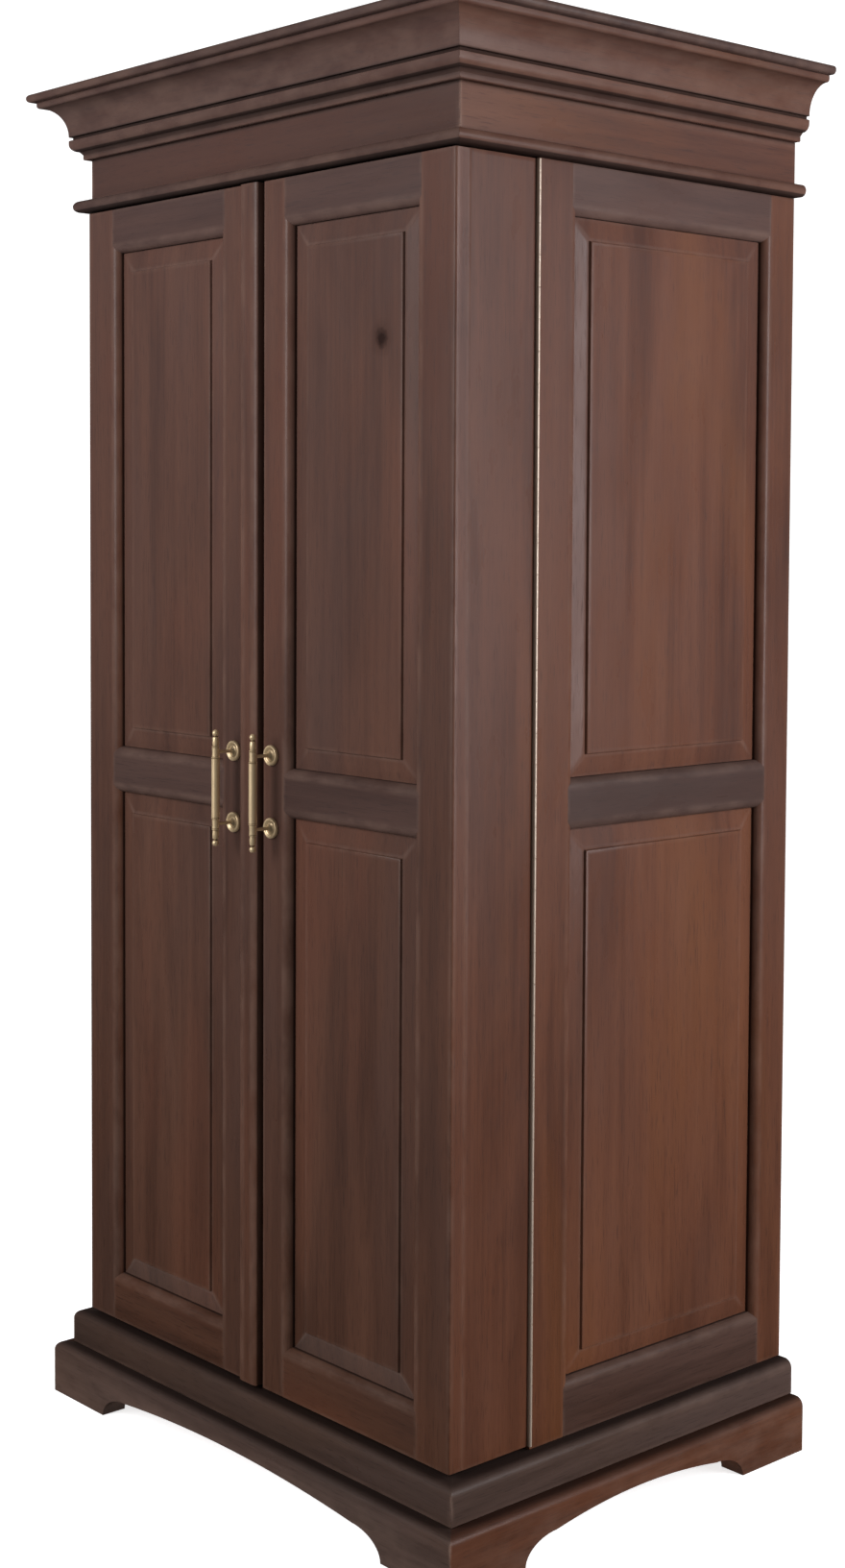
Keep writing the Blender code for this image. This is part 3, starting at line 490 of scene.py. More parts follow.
# A lighter, redder copy of the front's mahogany for faces that look sideways: painted side light.
SIDE_WOOD = WoodFinish("mahogany_side", (0.046, 0.0160, 0.0085), (0.098, 0.0340, 0.0168),
                       (0.130, 0.0480, 0.0240), (0.138, 0.0470, 0.0150), (0.086, 0.0355, 0.0230), painted_sheen=0.065)
COOL_WOOD = WoodFinish("mahogany", (0.031, 0.0150, 0.0108), (0.057, 0.0290, 0.0215),
                       (0.079, 0.0410, 0.0310), (0.074, 0.0330, 0.0195), (0.050, 0.0300, 0.0235))
BASE_WOOD = WoodFinish("mahogany", (0.030, 0.0175, 0.0135), (0.055, 0.0335, 0.0270),
                       (0.076, 0.0470, 0.0390), (0.071, 0.0380, 0.0250), (0.048, 0.0345, 0.0290))
DARK_WOOD = WoodFinish("mahogany_dark", (0.020, 0.0088, 0.0056), (0.040, 0.0185, 0.0115),
                       (0.060, 0.0280, 0.0175), (0.062, 0.0250, 0.0120), (0.038, 0.0210, 0.0165))
INNER_WOOD = WoodFinish("interior_wood", (0.060, 0.025, 0.016), (0.115, 0.052, 0.032),
                        (0.165, 0.078, 0.048), (0.170, 0.078, 0.038), (0.105, 0.056, 0.044),
                        painted_sheen=0.04, roughness=0.5)
PANEL_KNOT = Knot((0.250, -0.2787, 1.511), 0.010)
BRASS = BrassFinish()
PALE_BRASS = BrassFinish(bright=(0.54, 0.42, 0.33), dull=(0.38, 0.28, 0.20), roughness=0.36)


def arc(centre: Point, radii: Point, start: float, end: float, steps: int) -> list[Point]:
    """Points on an elliptic arc.

    Args:
        centre: the middle of the ellipse.
        radii: its two radii.
        start: the first angle, in degrees.
        end: the last angle, in degrees.
        steps: how many chords the arc has.

    Returns:
        The points, both ends included.
    """
    angles = [math.radians(start + (end - start) * step / steps) for step in range(steps + 1)]
    return [(centre[0] + radii[0] * math.cos(a), centre[1] + radii[1] * math.sin(a)) for a in angles]


def share(value: float, low: float, high: float) -> float:
    """How far a value lies from a low to a high one, between 0 and 1."""
    return min(1.0, max(0.0, (value - low) / (high - low)))


def middle(box: Sequence[Vector]) -> Vector:
    """The middle of a box."""
    return (box[0] + box[1]) / 2


def block(low: Spot, high: Spot) -> BMesh:
    """A block between two corners.

    Args:
        low: its lowest corner.
        high: its highest corner.

    Returns:
        The block.
    """
    low, high = Vector(low), Vector(high)
    bm = bmesh.new()
    bmesh.ops.create_cube(bm, size=1.0)
    bmesh.ops.scale(bm, vec=high - low, verts=bm.verts)
    bmesh.ops.translate(bm, vec=(low + high) / 2, verts=bm.verts)
    return bm


def prism(outline: Sequence[Spot], along: Spot) -> BMesh:
    """A flat outline of points in space, drawn out along a line.

    Args:
        outline: the points, in order.
        along: the line.

    Returns:
        The closed piece.
    """
    bm = bmesh.new()
    face = bm.faces.new([bm.verts.new(point) for point in outline])
    drawn = bmesh.ops.extrude_face_region(bm, geom=[face], use_keep_orig=True)
    moved = [item for item in drawn["geom"] if isinstance(item, BMVert)]
    bmesh.ops.translate(bm, vec=along, verts=moved)
    bmesh.ops.recalc_face_normals(bm, faces=bm.faces)
    return bm


def turned(profile: Sequence[Point], steps: int = 40) -> BMesh:
    """A profile of (radius, height) points turned about Z.

    Args:
        profile: the points, from tip to foot.
        steps: how many facets a turn has.

    Returns:
        The turned piece.
    """
    bm = bmesh.new()
    verts = [bm.verts.new((radius, 0.0, height)) for radius, height in profile]
    edges = [bm.edges.new(pair) for pair in zip(verts, verts[1:])]
    bmesh.ops.spin(bm, geom=verts + edges, cent=ORIGIN, axis=UP, angle=math.tau, steps=steps, use_merge=True)
    bmesh.ops.remove_doubles(bm, verts=bm.verts, dist=TOUCH)
    bmesh.ops.recalc_face_normals(bm, faces=bm.faces)
    return bm


def disc(radius: float, depth: float, segments: int) -> BMesh:
    """A round block about the origin.

    Args:
        radius: its radius.
        depth: its length along Z.
        segments: how many facets a turn has.

    Returns:
        The block.
    """
    bm = bmesh.new()
    bmesh.ops.create_cone(bm, cap_ends=True, segments=segments, radius1=radius, radius2=radius, depth=depth)
    return bm


def joined(parts: Sequence[BMesh]) -> BMesh:
    """Several pieces put into one mesh.

    Args:
        parts: the pieces, which are used up.

    Returns:
        The mesh.
    """
    whole = bmesh.new()
    for part in parts:
        mesh = bpy.data.meshes.new("part")
        part.to_mesh(mesh)
        part.free()
        whole.from_mesh(mesh)
        bpy.data.meshes.remove(mesh)
    return whole


def set_down(bm: BMesh, place: Spot, tilt: float = 0.0) -> BMesh:
    """Tip a piece about the X axis, and move it to its place.

    Args:
        bm: the piece, made about the origin.
        place: where the origin goes.
        tilt: how far it is tipped, in radians.

    Returns:
        The same piece.
    """
    if tilt:
        bmesh.ops.rotate(bm, cent=ORIGIN, matrix=Matrix.Rotation(tilt, 3, "X"), verts=bm.verts)
    bmesh.ops.translate(bm, vec=place, verts=bm.verts)
    return bm


def ease(bm: BMesh, chosen: Callable[[BMEdge], bool], radius: float, segments: int) -> None:
    """Round the edges for which the test says yes.

    Args:
        bm: the piece.
        chosen: the test.
        radius: how much is taken off.
        segments: how many facets the round has.
    """
    edges = [edge for edge in bm.edges if chosen(edge)]
    if edges:
        bmesh.ops.bevel(bm, geom=edges, offset=radius, offset_type="OFFSET", segments=segments, profile=0.5,
                        affect="EDGES", material=-1, clamp_overlap=True)


def sharp(edge: BMEdge) -> bool:
    """Say whether an edge is an outer corner."""
    return edge.is_manifold and edge.calc_face_angle_signed(0.0) > SHARP_ANGLE


def at(edge: BMEdge, axis: int, value: float) -> bool:
    """Say whether both ends of an edge have that coordinate."""
    return all(abs(vert.co[axis] - value) < TOUCH for vert in edge.verts)


def split(bm: BMesh, point: Spot, normal: Spot, **how: object) -> list[BMEdge]:
    """Cut a piece at a plane.

    Args:
        bm: the piece.
        point: a point of the plane.
        normal: the way that the plane looks.
        how: further options of the cut.

    Returns:
        The edges of the cut.
    """
    cut = bmesh.ops.bisect_plane(bm, geom=bm.verts[:] + bm.edges[:] + bm.faces[:], plane_co=point,
                                 plane_no=normal, **how)
    return [item for item in cut["geom_cut"] if isinstance(item, BMEdge)]


def layer(bm: BMesh, name: str) -> bmesh.types.BMLayerItem:
    """The layer of values at a mesh's points that has that name."""
    return bm.verts.layers.float.get(name) or bm.verts.layers.float.new(name)


def tuck(bm: BMesh, amount: Amount) -> None:
    """Say how much painted shade each point gets, besides the inner corners, with some old polish in the
    joints.

    Args:
        bm: the piece.
        amount: gives that for a point, from 0 to 1.
    """
    tucked = layer(bm, "tuck")
    for vert in bm.verts:
        vert[tucked] = max(vert[tucked], float(amount(vert.co)))


def rub_arris(bm: BMesh, point: Spot, normal: Spot, amount: Amount) -> None:
    """Rub the arris of a sawn end, with a loop beside it that keeps the bare wood in a narrow line.

    Args:
        bm: the piece.
        point: a point of the sawn end.
        normal: the way that the end looks.
        amount: says how bare the arris is at a point.
    """
    rubbed = layer(bm, "rub")
    end, away = Vector(point), Vector(normal).normalized()
    split(bm, end - away * RUB_WIDTH, away)
    for vert in bm.verts:
        if abs((vert.co - end).dot(away)) < TOUCH:
            vert[rubbed] = amount(vert.co)


def support(bm: BMesh) -> None:
    """Add a loop just inside each broad face, so that shading and wear stay near the edges.

    Args:
        bm: the piece.
    """
    broad = [face for face in bm.faces
             if len(face.verts) == 4 and face.calc_area() / face.calc_perimeter() > BROAD_FACE]
    bmesh.ops.inset_individual(bm, faces=broad, thickness=SUPPORT_INSET, use_even_offset=True)


def mark(bm: BMesh) -> None:
    """Store at each point how worn it is, and how much painted shade it gets, in the inner corners and where
    it was asked for, with some old polish in the joints.

    Args:
        bm: the piece.
    """
    tucked, rubbed, wear, crease = (layer(bm, name) for name in ("tuck", "rub", "wear", "crease"))
    for vert in bm.verts:
        angles = [edge.calc_face_angle_signed(0.0) for edge in vert.link_edges if edge.is_manifold]
        vert[wear] = max(vert[rubbed], EASY_WEAR * share(max(angles, default=0.0), 0.0, WORN_ANGLE))
        # Painted shade in the inner corners, joined with the shade asked for at each point.
        vert[crease] = max(vert[tucked], share(-min(angles, default=0.0), 0.0, CREASE_ANGLE))


class Bench:
    """Where pieces get their finish and their body, and the solid that each stands for is hidden."""

    def __init__(self) -> None:
        """Start with no pieces."""
        self.count = 0

    def hand_over(self, name: str, bm: BMesh, body: str, node: str,
                  material: bpy.types.Material) -> None:
        """Turn a bmesh into a finished piece.

        Args:
            name: the piece's name.
            bm: its shape, in the cabinet's own coordinates.
            body: the body that it moves with.
            node: the solid that it stands for.
            material: its finish.
        """
        support(bm)
        mark(bm)
        mesh = bpy.data.meshes.new(name)
        bm.to_mesh(mesh)
        bm.free()
        mesh.materials.append(material)
        mesh.shade_smooth()
        mesh.set_sharp_from_angle(angle=SHADE_ANGLE)
        piece = bpy.data.objects.new(name, mesh)
        bpy.context.scene.collection.objects.link(piece)
        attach(piece, body)
        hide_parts(node)
        self.count += 1
        LOG.info("%s on %s, %d faces", name, body, len(mesh.polygons))

    def wooden(self, name: str, bm: BMesh, body: str, node: str, finish: WoodFinish, grain: Grain,
               tone: float = 1.0, seed: Optional[int] = None, **look: object) -> None:
        """Hand over a wooden piece, with a stretch of grain of its own if no seed is given."""
        seed = self.count * SEED_STEP + FIRST_SEED if seed is None else seed
        self.hand_over(name, bm, body, node, finish.material(name, grain, seed, tone, **look))

    def brazen(self, name: str, bm: BMesh, body: str, node: str, finish: BrassFinish) -> None:
        """Hand over a brass piece."""
        self.hand_over(name, bm, body, node, finish.material(name, self.count))

    def board(self, node: str, body: str, finish: WoodFinish, grain: Grain, tone: float = 1.0,
              radius: float = 0.0012, seed: Optional[int] = None, lap: float = 0.0) -> None:
        """A plain board with eased edges, in place of the solid of that name.

        Args:
            node: the solid.
            body: the body that it moves with.
            finish: its wood.
            grain: the way that its fibres run.
            tone: how light it is.
            radius: the radius of its edges.
            seed: which stretch of the tree it comes from.
            lap: how far its front edge is drawn up to the piece before it, and left crisp there.
        """
        low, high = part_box(node)
        front = low.y - lap
        bm = block((low.x, front, low.z), high)
        ease(bm, lambda edge: sharp(edge) and not (lap and at(edge, 1, front)), radius, 2)
        self.wooden(node + "_board", bm, body, node, finish, grain, tone, seed)


@dataclass
class Course:
    """What goes round the front and both sides, in lengths that are mitred at the front corners."""

    bench: Bench
    half_width: float
    front: float
    back: float

    def moulding(self, name: str, node: str, section: Sequence[Point], tones: Point, dark: Amount,
                 woods: Sequence[WoodFinish] = (FRONT_WOOD, SIDE_WOOD), rub: Optional[Amount] = None) -> None:
        """Cut the three lengths of a moulding.

        Args:
            name: what the moulding is called.
            node: the solid that it stands for.
            section: its closed outline of (reach, height) points.
            tones: how light the front length and the side lengths are.
            dark: says how much painted shade a point gets.
            woods: the woods of the front length and of the side lengths.
            rub: says how bare the arris at the corner is.
        """
        reach = max(point[0] for point in section)
        outer = self.half_width + reach
        bm = prism([(-outer, self.front - r, z) for r, z in section], (2 * outer, 0.0, 0.0))
        tuck(bm, dark)
        for side in Side:
            self.mitre(bm, side, 1.0, rub)
        self.bench.wooden(name + "_front", bm, CARCASS, node, woods[0], Grain.ALONG_X, tones[0])
        for side in Side:
            outline = [(side.value * (self.half_width + r), self.back, z) for r, z in section]
            bm = prism(outline, (0.0, self.front - reach - self.back, 0.0))
            tuck(bm, dark)
            self.mitre(bm, side, -1.0, rub)
            length = "%s_%s" % (name, side.word)
            self.bench.wooden(length, bm, CARCASS, node, woods[1], Grain.ALONG_Y, tones[1])

    def mitre(self, bm: BMesh, side: Side, sense: float, rub: Optional[Amount]) -> None:
        """Saw one end at 45 degrees, through the corner on that side.

        Args:
            bm: the piece.
            side: the side of the corner.
            sense: 1 for the front piece, -1 for a side piece.
            rub: says how bare the arris at the corner is.
        """
        corner = (side.value * self.half_width, self.front - sense * JOINT_SLIP / 2, 0.0)
        normal = (sense * side.value, sense, 0.0)
        cut = split(bm, corner, normal, dist=TOUCH, clear_outer=True)
        bmesh.ops.edgeloop_fill(bm, edges=cut)
        if rub:
            rub_arris(bm, corner, normal, rub)


@dataclass
class Head(Course):
    """Frieze, cornice and top board."""

    frieze_bead: float = 0.017
    frieze_reach: float = 0.020
    fillet_reach: float = 0.009
    fillet_height: float = 0.007
    ovolo_reach: float = 0.024
    ovolo_radius: float = 0.011
    ovolo_top: float = 0.028
    quirk: float = 0.0045
    shade: float = 0.006
    frieze_rub: float = 0.75
    cove_reach: float = 0.057
    cove_round: float = 0.004
    thickness: float = 0.022
    nose: float = 0.0056
    bead_tones: Point = (0.52, 0.7)
    board_tones: Point = (0.66, 1.0)
    cornice_tones: Point = (0.62, 0.76)

    def build(self) -> None:
        """Build the three courses."""
        self.build_frieze()
        self.build_cornice()
        self.build_top()

    def build_frieze(self) -> None:
        """Frieze boards, and the half-round bead along their foot."""
        low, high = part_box("frieze")
        radius = self.frieze_bead / 2
        seat = low.z + self.frieze_bead
        bead = [(-self.thickness, low.z)]
        bead += arc((self.frieze_reach - radius, low.z + radius), (radius, radius), -90.0, 90.0, 18)
        bead += [(-self.thickness, seat)]
        # Painted shade on the underside of the bead.
        self.moulding("frieze_bead", "frieze", bead, self.bead_tones,
                      lambda co: co.z < low.z + self.frieze_bead / 5)
        board = [(-self.thickness, seat + JOINT_SLIP), (0.0, seat + JOINT_SLIP)]
        board += [(0.0, high.z - self.shade), (0.0, high.z), (-self.thickness, high.z)]
        # Painted shadow along the board's top, under the cornice's fillet.
        self.moulding("frieze_board", "frieze", board, self.board_tones,
                      lambda co: co.z > high.z - self.shade / 2, rub=lambda co: self.frieze_rub)

    def build_cornice(self) -> None:
        """Cornice: fillet, ovolo, quirk and cove."""
        low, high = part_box("cornice")
        fillet, ovolo, neck = self.fillet_reach, self.ovolo_reach, self.ovolo_reach - self.quirk
        fillet_top = low.z + self.fillet_height
        ovolo_low = fillet_top + self.quirk
        ovolo_top = low.z + self.ovolo_top
        foot = ovolo_top + self.quirk
        cove_top = high.z - self.cove_round - self.quirk
        lip = self.cove_reach - self.cove_round
        width = lip - ovolo
        section = [(-self.thickness, low.z), (fillet - ARRIS, low.z), (fillet, low.z + ARRIS)]
        section += [(fillet, ovolo_low - self.quirk)]
        section += arc((ovolo - self.ovolo_radius, ovolo_low + self.ovolo_radius),
                       (self.ovolo_radius, self.ovolo_radius), -90.0, 0.0, 10)
        section += [(ovolo, ovolo_top - ARRIS), (ovolo - ARRIS, ovolo_top), (neck, ovolo_top), (neck, foot)]
        section += arc((ovolo + width, foot), (width, cove_top - foot), 180.0, 90.0, 20)
        nose = (lip, cove_top + self.cove_round)
        section += arc(nose, (self.cove_round, self.cove_round), -90.0, 0.0, 8)[1:]
        section += [(self.cove_reach, high.z), (-self.thickness, high.z)]
        # Painted shade in the quirk under the ovolo and in the quirk at the cove's foot.
        lines = (ovolo_low, ovolo_top + self.quirk / 2)
        self.moulding("cornice", "cornice", section, self.cornice_tones,
                      lambda co: any(abs(co.z - line) < self.quirk * 0.6 for line in lines))

    def build_top(self) -> None:
        """Top board with a rounded nose on the front and the sides."""
        low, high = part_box("top_board")
        bm = block(low, high)
        ease(bm, lambda edge: self.on_nose(edge, high.y), self.nose, 7)
        self.bench.wooden("top_board_planed", bm, CARCASS, "top_board", DARK_WOOD, Grain.ALONG_X)

    @staticmethod
    def on_nose(edge: BMEdge, back: float) -> bool:
        """Say whether a long edge lies on the front or on a side."""
        first, last = (vert.co for vert in edge.verts)
        return abs(first.z - last.z) < TOUCH and min(first.y, last.y) < back - TOUCH


@dataclass
class Base(Course):
    """Bracket plinth, base moulding and deck."""

    plinth_reach: float = 0.0425
    plinth_thickness: float = 0.038
    plinth_round: float = 0.012
    plinth_rub: float = 0.7
    plinth_tones: Point = (1.25, 1.05)
    foot: float = 0.127
    cove_width: float = 0.055
    cove_height: float = 0.033
    crown: float = 0.013
    crown_steps: int = 9
    moulding_round: float = 0.012
    moulding_reach: float = 0.022
    moulding_inner: float = 0.018
    moulding_rub: float = 0.5
    moulding_tones: Point = (0.98, 1.2)
    ledge: float = 0.014
    ledge_shade: float = 0.007
    deck_thickness: float = 0.0203

    def build(self) -> None:
        """Build plinth, moulding and deck."""
        self.build_plinth()
        self.build_moulding()
        self.bench.board("deck", CARCASS, INNER_WOOD, Grain.ALONG_X)

    def arch(self, length: float, height: float) -> list[Point]:
        """Outline of a plinth board with the arch between its feet.

        Args:
            length: the board's length.
            height: the board's height.

        Returns:
            Points of (distance along the board, height).
        """
        end = self.foot + self.cove_width
        half = [(0.0, 0.0), (self.foot, 0.0)]
        half += arc((end, 0.0), (self.cove_width, self.cove_height), 180.0, 90.0, 12)[1:]
        for step in range(1, self.crown_steps):
            way = step / self.crown_steps
            rise = self.cove_height + self.crown * (1 - (1 - way) ** 2)
            half.append((end + (length / 2 - end) * way, rise))
        whole = half + [(length / 2, self.cove_height + self.crown)]
        whole += [(length - u, z) for u, z in reversed(half)]
        return whole + [(length, height), (0.0, height)]

    def plinth_board(self, outline: Sequence[Spot], along: Spot, axis: int) -> BMesh:
        """One board of the plinth, rounded along the top of its face.

        Args:
            outline: the outline of its face.
            along: the way to its back.
            axis: the axis that its face looks along.

        Returns:
            The board's shape.
        """
        top = max(point[2] for point in outline)
        bm = prism(outline, along)
        ease(bm, lambda edge: at(edge, 2, top) and at(edge, axis, outline[0][axis]), self.plinth_round, 9)
        # Painted shade on the top ledge, growing towards the top.
        tuck(bm, lambda co: share(co.z, top - self.ledge_shade, top))
        return bm

    def build_plinth(self) -> None:
        """Front and side boards, mitred at the front corners."""
        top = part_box("plinth_front")[1].z
        arris = top - self.plinth_round
        outer = self.front - self.plinth_reach
        half = self.half_width + self.plinth_reach

        def rub(co: Vector) -> float:
            """How bare the arris is, most where the round begins."""
            return self.plinth_rub * share(co.z, arris / 2, arris) * share(co.z, top, arris)

        outline = [(u - half, outer, z) for u, z in self.arch(2 * half, top)]
        bm = self.plinth_board(outline, (0.0, self.plinth_thickness, 0.0), 1)
        for side in Side:
            self.mitre(bm, side, 1.0, rub)
        self.bench.wooden("plinth_front_board", bm, CARCASS, "plinth_front", BASE_WOOD, Grain.ALONG_X,
                          self.plinth_tones[0])
        for side in Side:
            outline = [(side.value * half, outer + u, z) for u, z in self.arch(self.back - outer, top)]
            bm = self.plinth_board(outline, (-side.value * self.plinth_thickness, 0.0, 0.0), 0)
            self.mitre(bm, side, -1.0, rub)
            node = side.word + "_plinth"
            self.bench.wooden(node + "_board", bm, CARCASS, node, SIDE_WOOD, Grain.ALONG_Y,
                              self.plinth_tones[1])

    def build_moulding(self) -> None:
        """Base moulding with a rounded top and a ledge for the deck."""
        low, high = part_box("base_moulding")
        reach, inner = self.moulding_reach, -self.moulding_inner
        ledge_top = high.z - self.deck_thickness
        arris = high.z - self.moulding_round
        section = [(inner - self.ledge, low.z), (reach - ARRIS, low.z), (reach, low.z + ARRIS)]
        section += arc((reach - self.moulding_round, arris), (self.moulding_round, self.moulding_round),
                       0.0, 90.0, 10)
        section += [(inner, high.z), (inner, ledge_top), (inner - self.ledge, ledge_top)]
        # Painted shade on the top ledge, growing towards the top.
        self.moulding("base_moulding", "base_moulding", section, self.moulding_tones,
                      lambda co: share(co.z, high.z - self.ledge_shade, high.z), (BASE_WOOD, BASE_WOOD),
                      lambda co: self.moulding_rub * share(co.z, low.z, arris) * share(co.z, high.z, arris))


@dataclass(frozen=True)
class Joinery:
    """Stiles, rails and raised panels, the same on the doors and on the fixed sides."""

    sticking: float = 0.0115
    corner_round: float = 0.003
    edge_round: float = 0.0006
    tongue: float = 0.0092
    bevel: float = 0.028
    rise: float = 0.0036
    shoulder: float = 0.0034
    slant: float = 0.0008
    field_round: float = 0.0007
    groove_line: float = 0.0004
    lower_slope: Point = (-0.3, -0.05)

    def member(self, low: Spot, high: Spot, outward: Vector, inner: Sequence[Vector],
               corner: Optional[Vector] = None) -> BMesh:
        """A stile or a rail, rounded along the face edges that meet an opening.

        Args:
            low: lowest corner.
            high: highest corner.
            outward: the way that the face looks.
            inner: the ways in which openings lie.
            corner: the way to an outer corner that is rounded too, while the edge behind it stays crisp.

        Returns:
            The member's shape.
        """
        bm = block(low, high)
        for way in inner:
            ease(bm, lambda edge: self.on(edge, outward, way), self.sticking, 9)
        if corner is not None:
            ease(bm, lambda edge: self.on(edge, outward, corner), self.corner_round, 6)
        ease(bm, lambda edge: sharp(edge) and not (corner is not None and self.on(edge, -outward, corner)),
             self.edge_round, 1)
        # Painted shade with some old polish: a dark line along each opening's wall.
        for way in inner:
            wall = max(vert.co.dot(way) for vert in bm.verts)
            tuck(bm, lambda co: co.dot(way) > wall - self.groove_line)
        return bm

    @staticmethod
    def on(edge: BMEdge, outward: Vector, way: Vector) -> bool:
        """Say whether a long edge lies on the face and on the given flank.

        Args:
            edge: the edge.
            outward: the way that the face looks.
            way: the way that the flank looks.

        Returns:
            True if it lies on both.
        """
        span = edge.verts[1].co - edge.verts[0].co
        if abs(span.dot(outward)) > TOUCH or abs(span.dot(way)) > TOUCH:
            return False
        normals = [face.normal for face in edge.link_faces]
        return all(any(normal.dot(look) > SAME_WAY for normal in normals) for look in (outward, way))

    def panel(self, node: str, outward: Vector) -> BMesh:
        """A raised and fielded panel, cut back from its solid's box.

        Args:
            node: the solid.
            outward: the way that the panel looks.

        Returns:
            The panel's shape.
        """
        low, high = (Vector(corner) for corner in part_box(node))
        proud = self.rise + self.shoulder
        for axis in range(3):
            high[axis] -= proud * max(outward[axis], 0.0)
            low[axis] += proud * max(-outward[axis], 0.0)
        bm = block(low, high)
        # The bevel faces that look a little downwards are marked for the painted reflection.
        lower_bevel = bm.faces.layers.float.new("lower_bevel")
        face = next(face for face in bm.faces if face.normal.dot(outward) > SAME_WAY)
        for thickness, depth in ((self.tongue, 0.0), (self.bevel, self.rise), (self.slant, self.shoulder)):
            bmesh.ops.inset_region(bm, faces=[face], thickness=thickness, depth=depth, use_even_offset=True)
        for sloped in bm.faces:
            sloped[lower_bevel] = float(self.lower_slope[0] < sloped.normal.z < self.lower_slope[1])
        ease(bm, lambda edge: edge in set(face.edges), self.field_round, 2)
        return bm


@dataclass
class Flank:
    """What the cabinet has once on each side."""

    bench: Bench
    side: Side
    joinery: ClassVar[Joinery] = Joinery()

    @property
    def door(self) -> str:
        """The body of the door on that side."""
        return self.side.word + "_door"

    def fielded(self, node: str, outward: Vector, body: str, finish: WoodFinish, tone: float,
                **look: object) -> None:
        """Hand over a raised and fielded panel, in place of the solid of that name."""
        bm = self.joinery.panel(node, outward)
        self.bench.wooden(node + "_fielded", bm, body, node, finish, Grain.ALONG_Z, tone, dirt=0.0, **look)


@dataclass
class FixedSide(Flank):
    """A fixed side of the carcass: stiles, rails and two raised panels."""

    front_stile: float = 0.071
    rear_stile: float = 0.060

    def build(self) -> None:
        """Build the frame's members and the panels."""
        name = self.side.word + "_side"
        frame = name + "_frame"
        out = Vector((self.side.value, 0.0, 0.0))
        low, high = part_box(frame)
        lower, upper = (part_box("%s_%s_panel" % (name, level)) for level in ("lower", "upper"))
        tongue, lap = self.joinery.tongue, self.joinery.sticking
        front_wall = low.y + self.front_stile
        rear_wall = high.y - self.rear_stile
        stiles = (("front_stile", low.y, front_wall, Vector((0, 1, 0)), 1.0),
                  ("rear_stile", rear_wall, high.y, Vector((0, -1, 0)), 0.97))
        for stile, y0, y1, way, tone in stiles:
            bm = self.joinery.member((low.x, y0, low.z), (high.x, y1, high.z), out, [way])
            self.bench.wooden("%s_%s" % (name, stile), bm, CARCASS, frame, SIDE_WOOD, Grain.ALONG_Z, tone)
        right = self.side is Side.RIGHT
        x0, x1 = (low.x + JOINT_SLIP, high.x) if right else (low.x, high.x - JOINT_SLIP)
        rails = (("bottom_rail", low.z, lower[0].z + tongue, [UP], 1.05),
                 ("mid_rail", lower[1].z - tongue, upper[0].z + tongue, [UP, DOWN], 0.80),
                 ("top_rail", upper[1].z - tongue, high.z, [DOWN], 1.2))
        for rail, z0, z1, ways, tone in rails:
            bm = self.joinery.member((x0, front_wall - lap, z0), (x1, rear_wall + lap, z1), out, ways)
            self.bench.wooden("%s_%s" % (name, rail), bm, CARCASS, frame, COOL_WOOD, Grain.ALONG_Y, tone)
        for level, tone in (("lower", 1.06), ("upper", 1.04)):
            self.fielded("%s_%s_panel" % (name, level), out, CARCASS, SIDE_WOOD, tone)


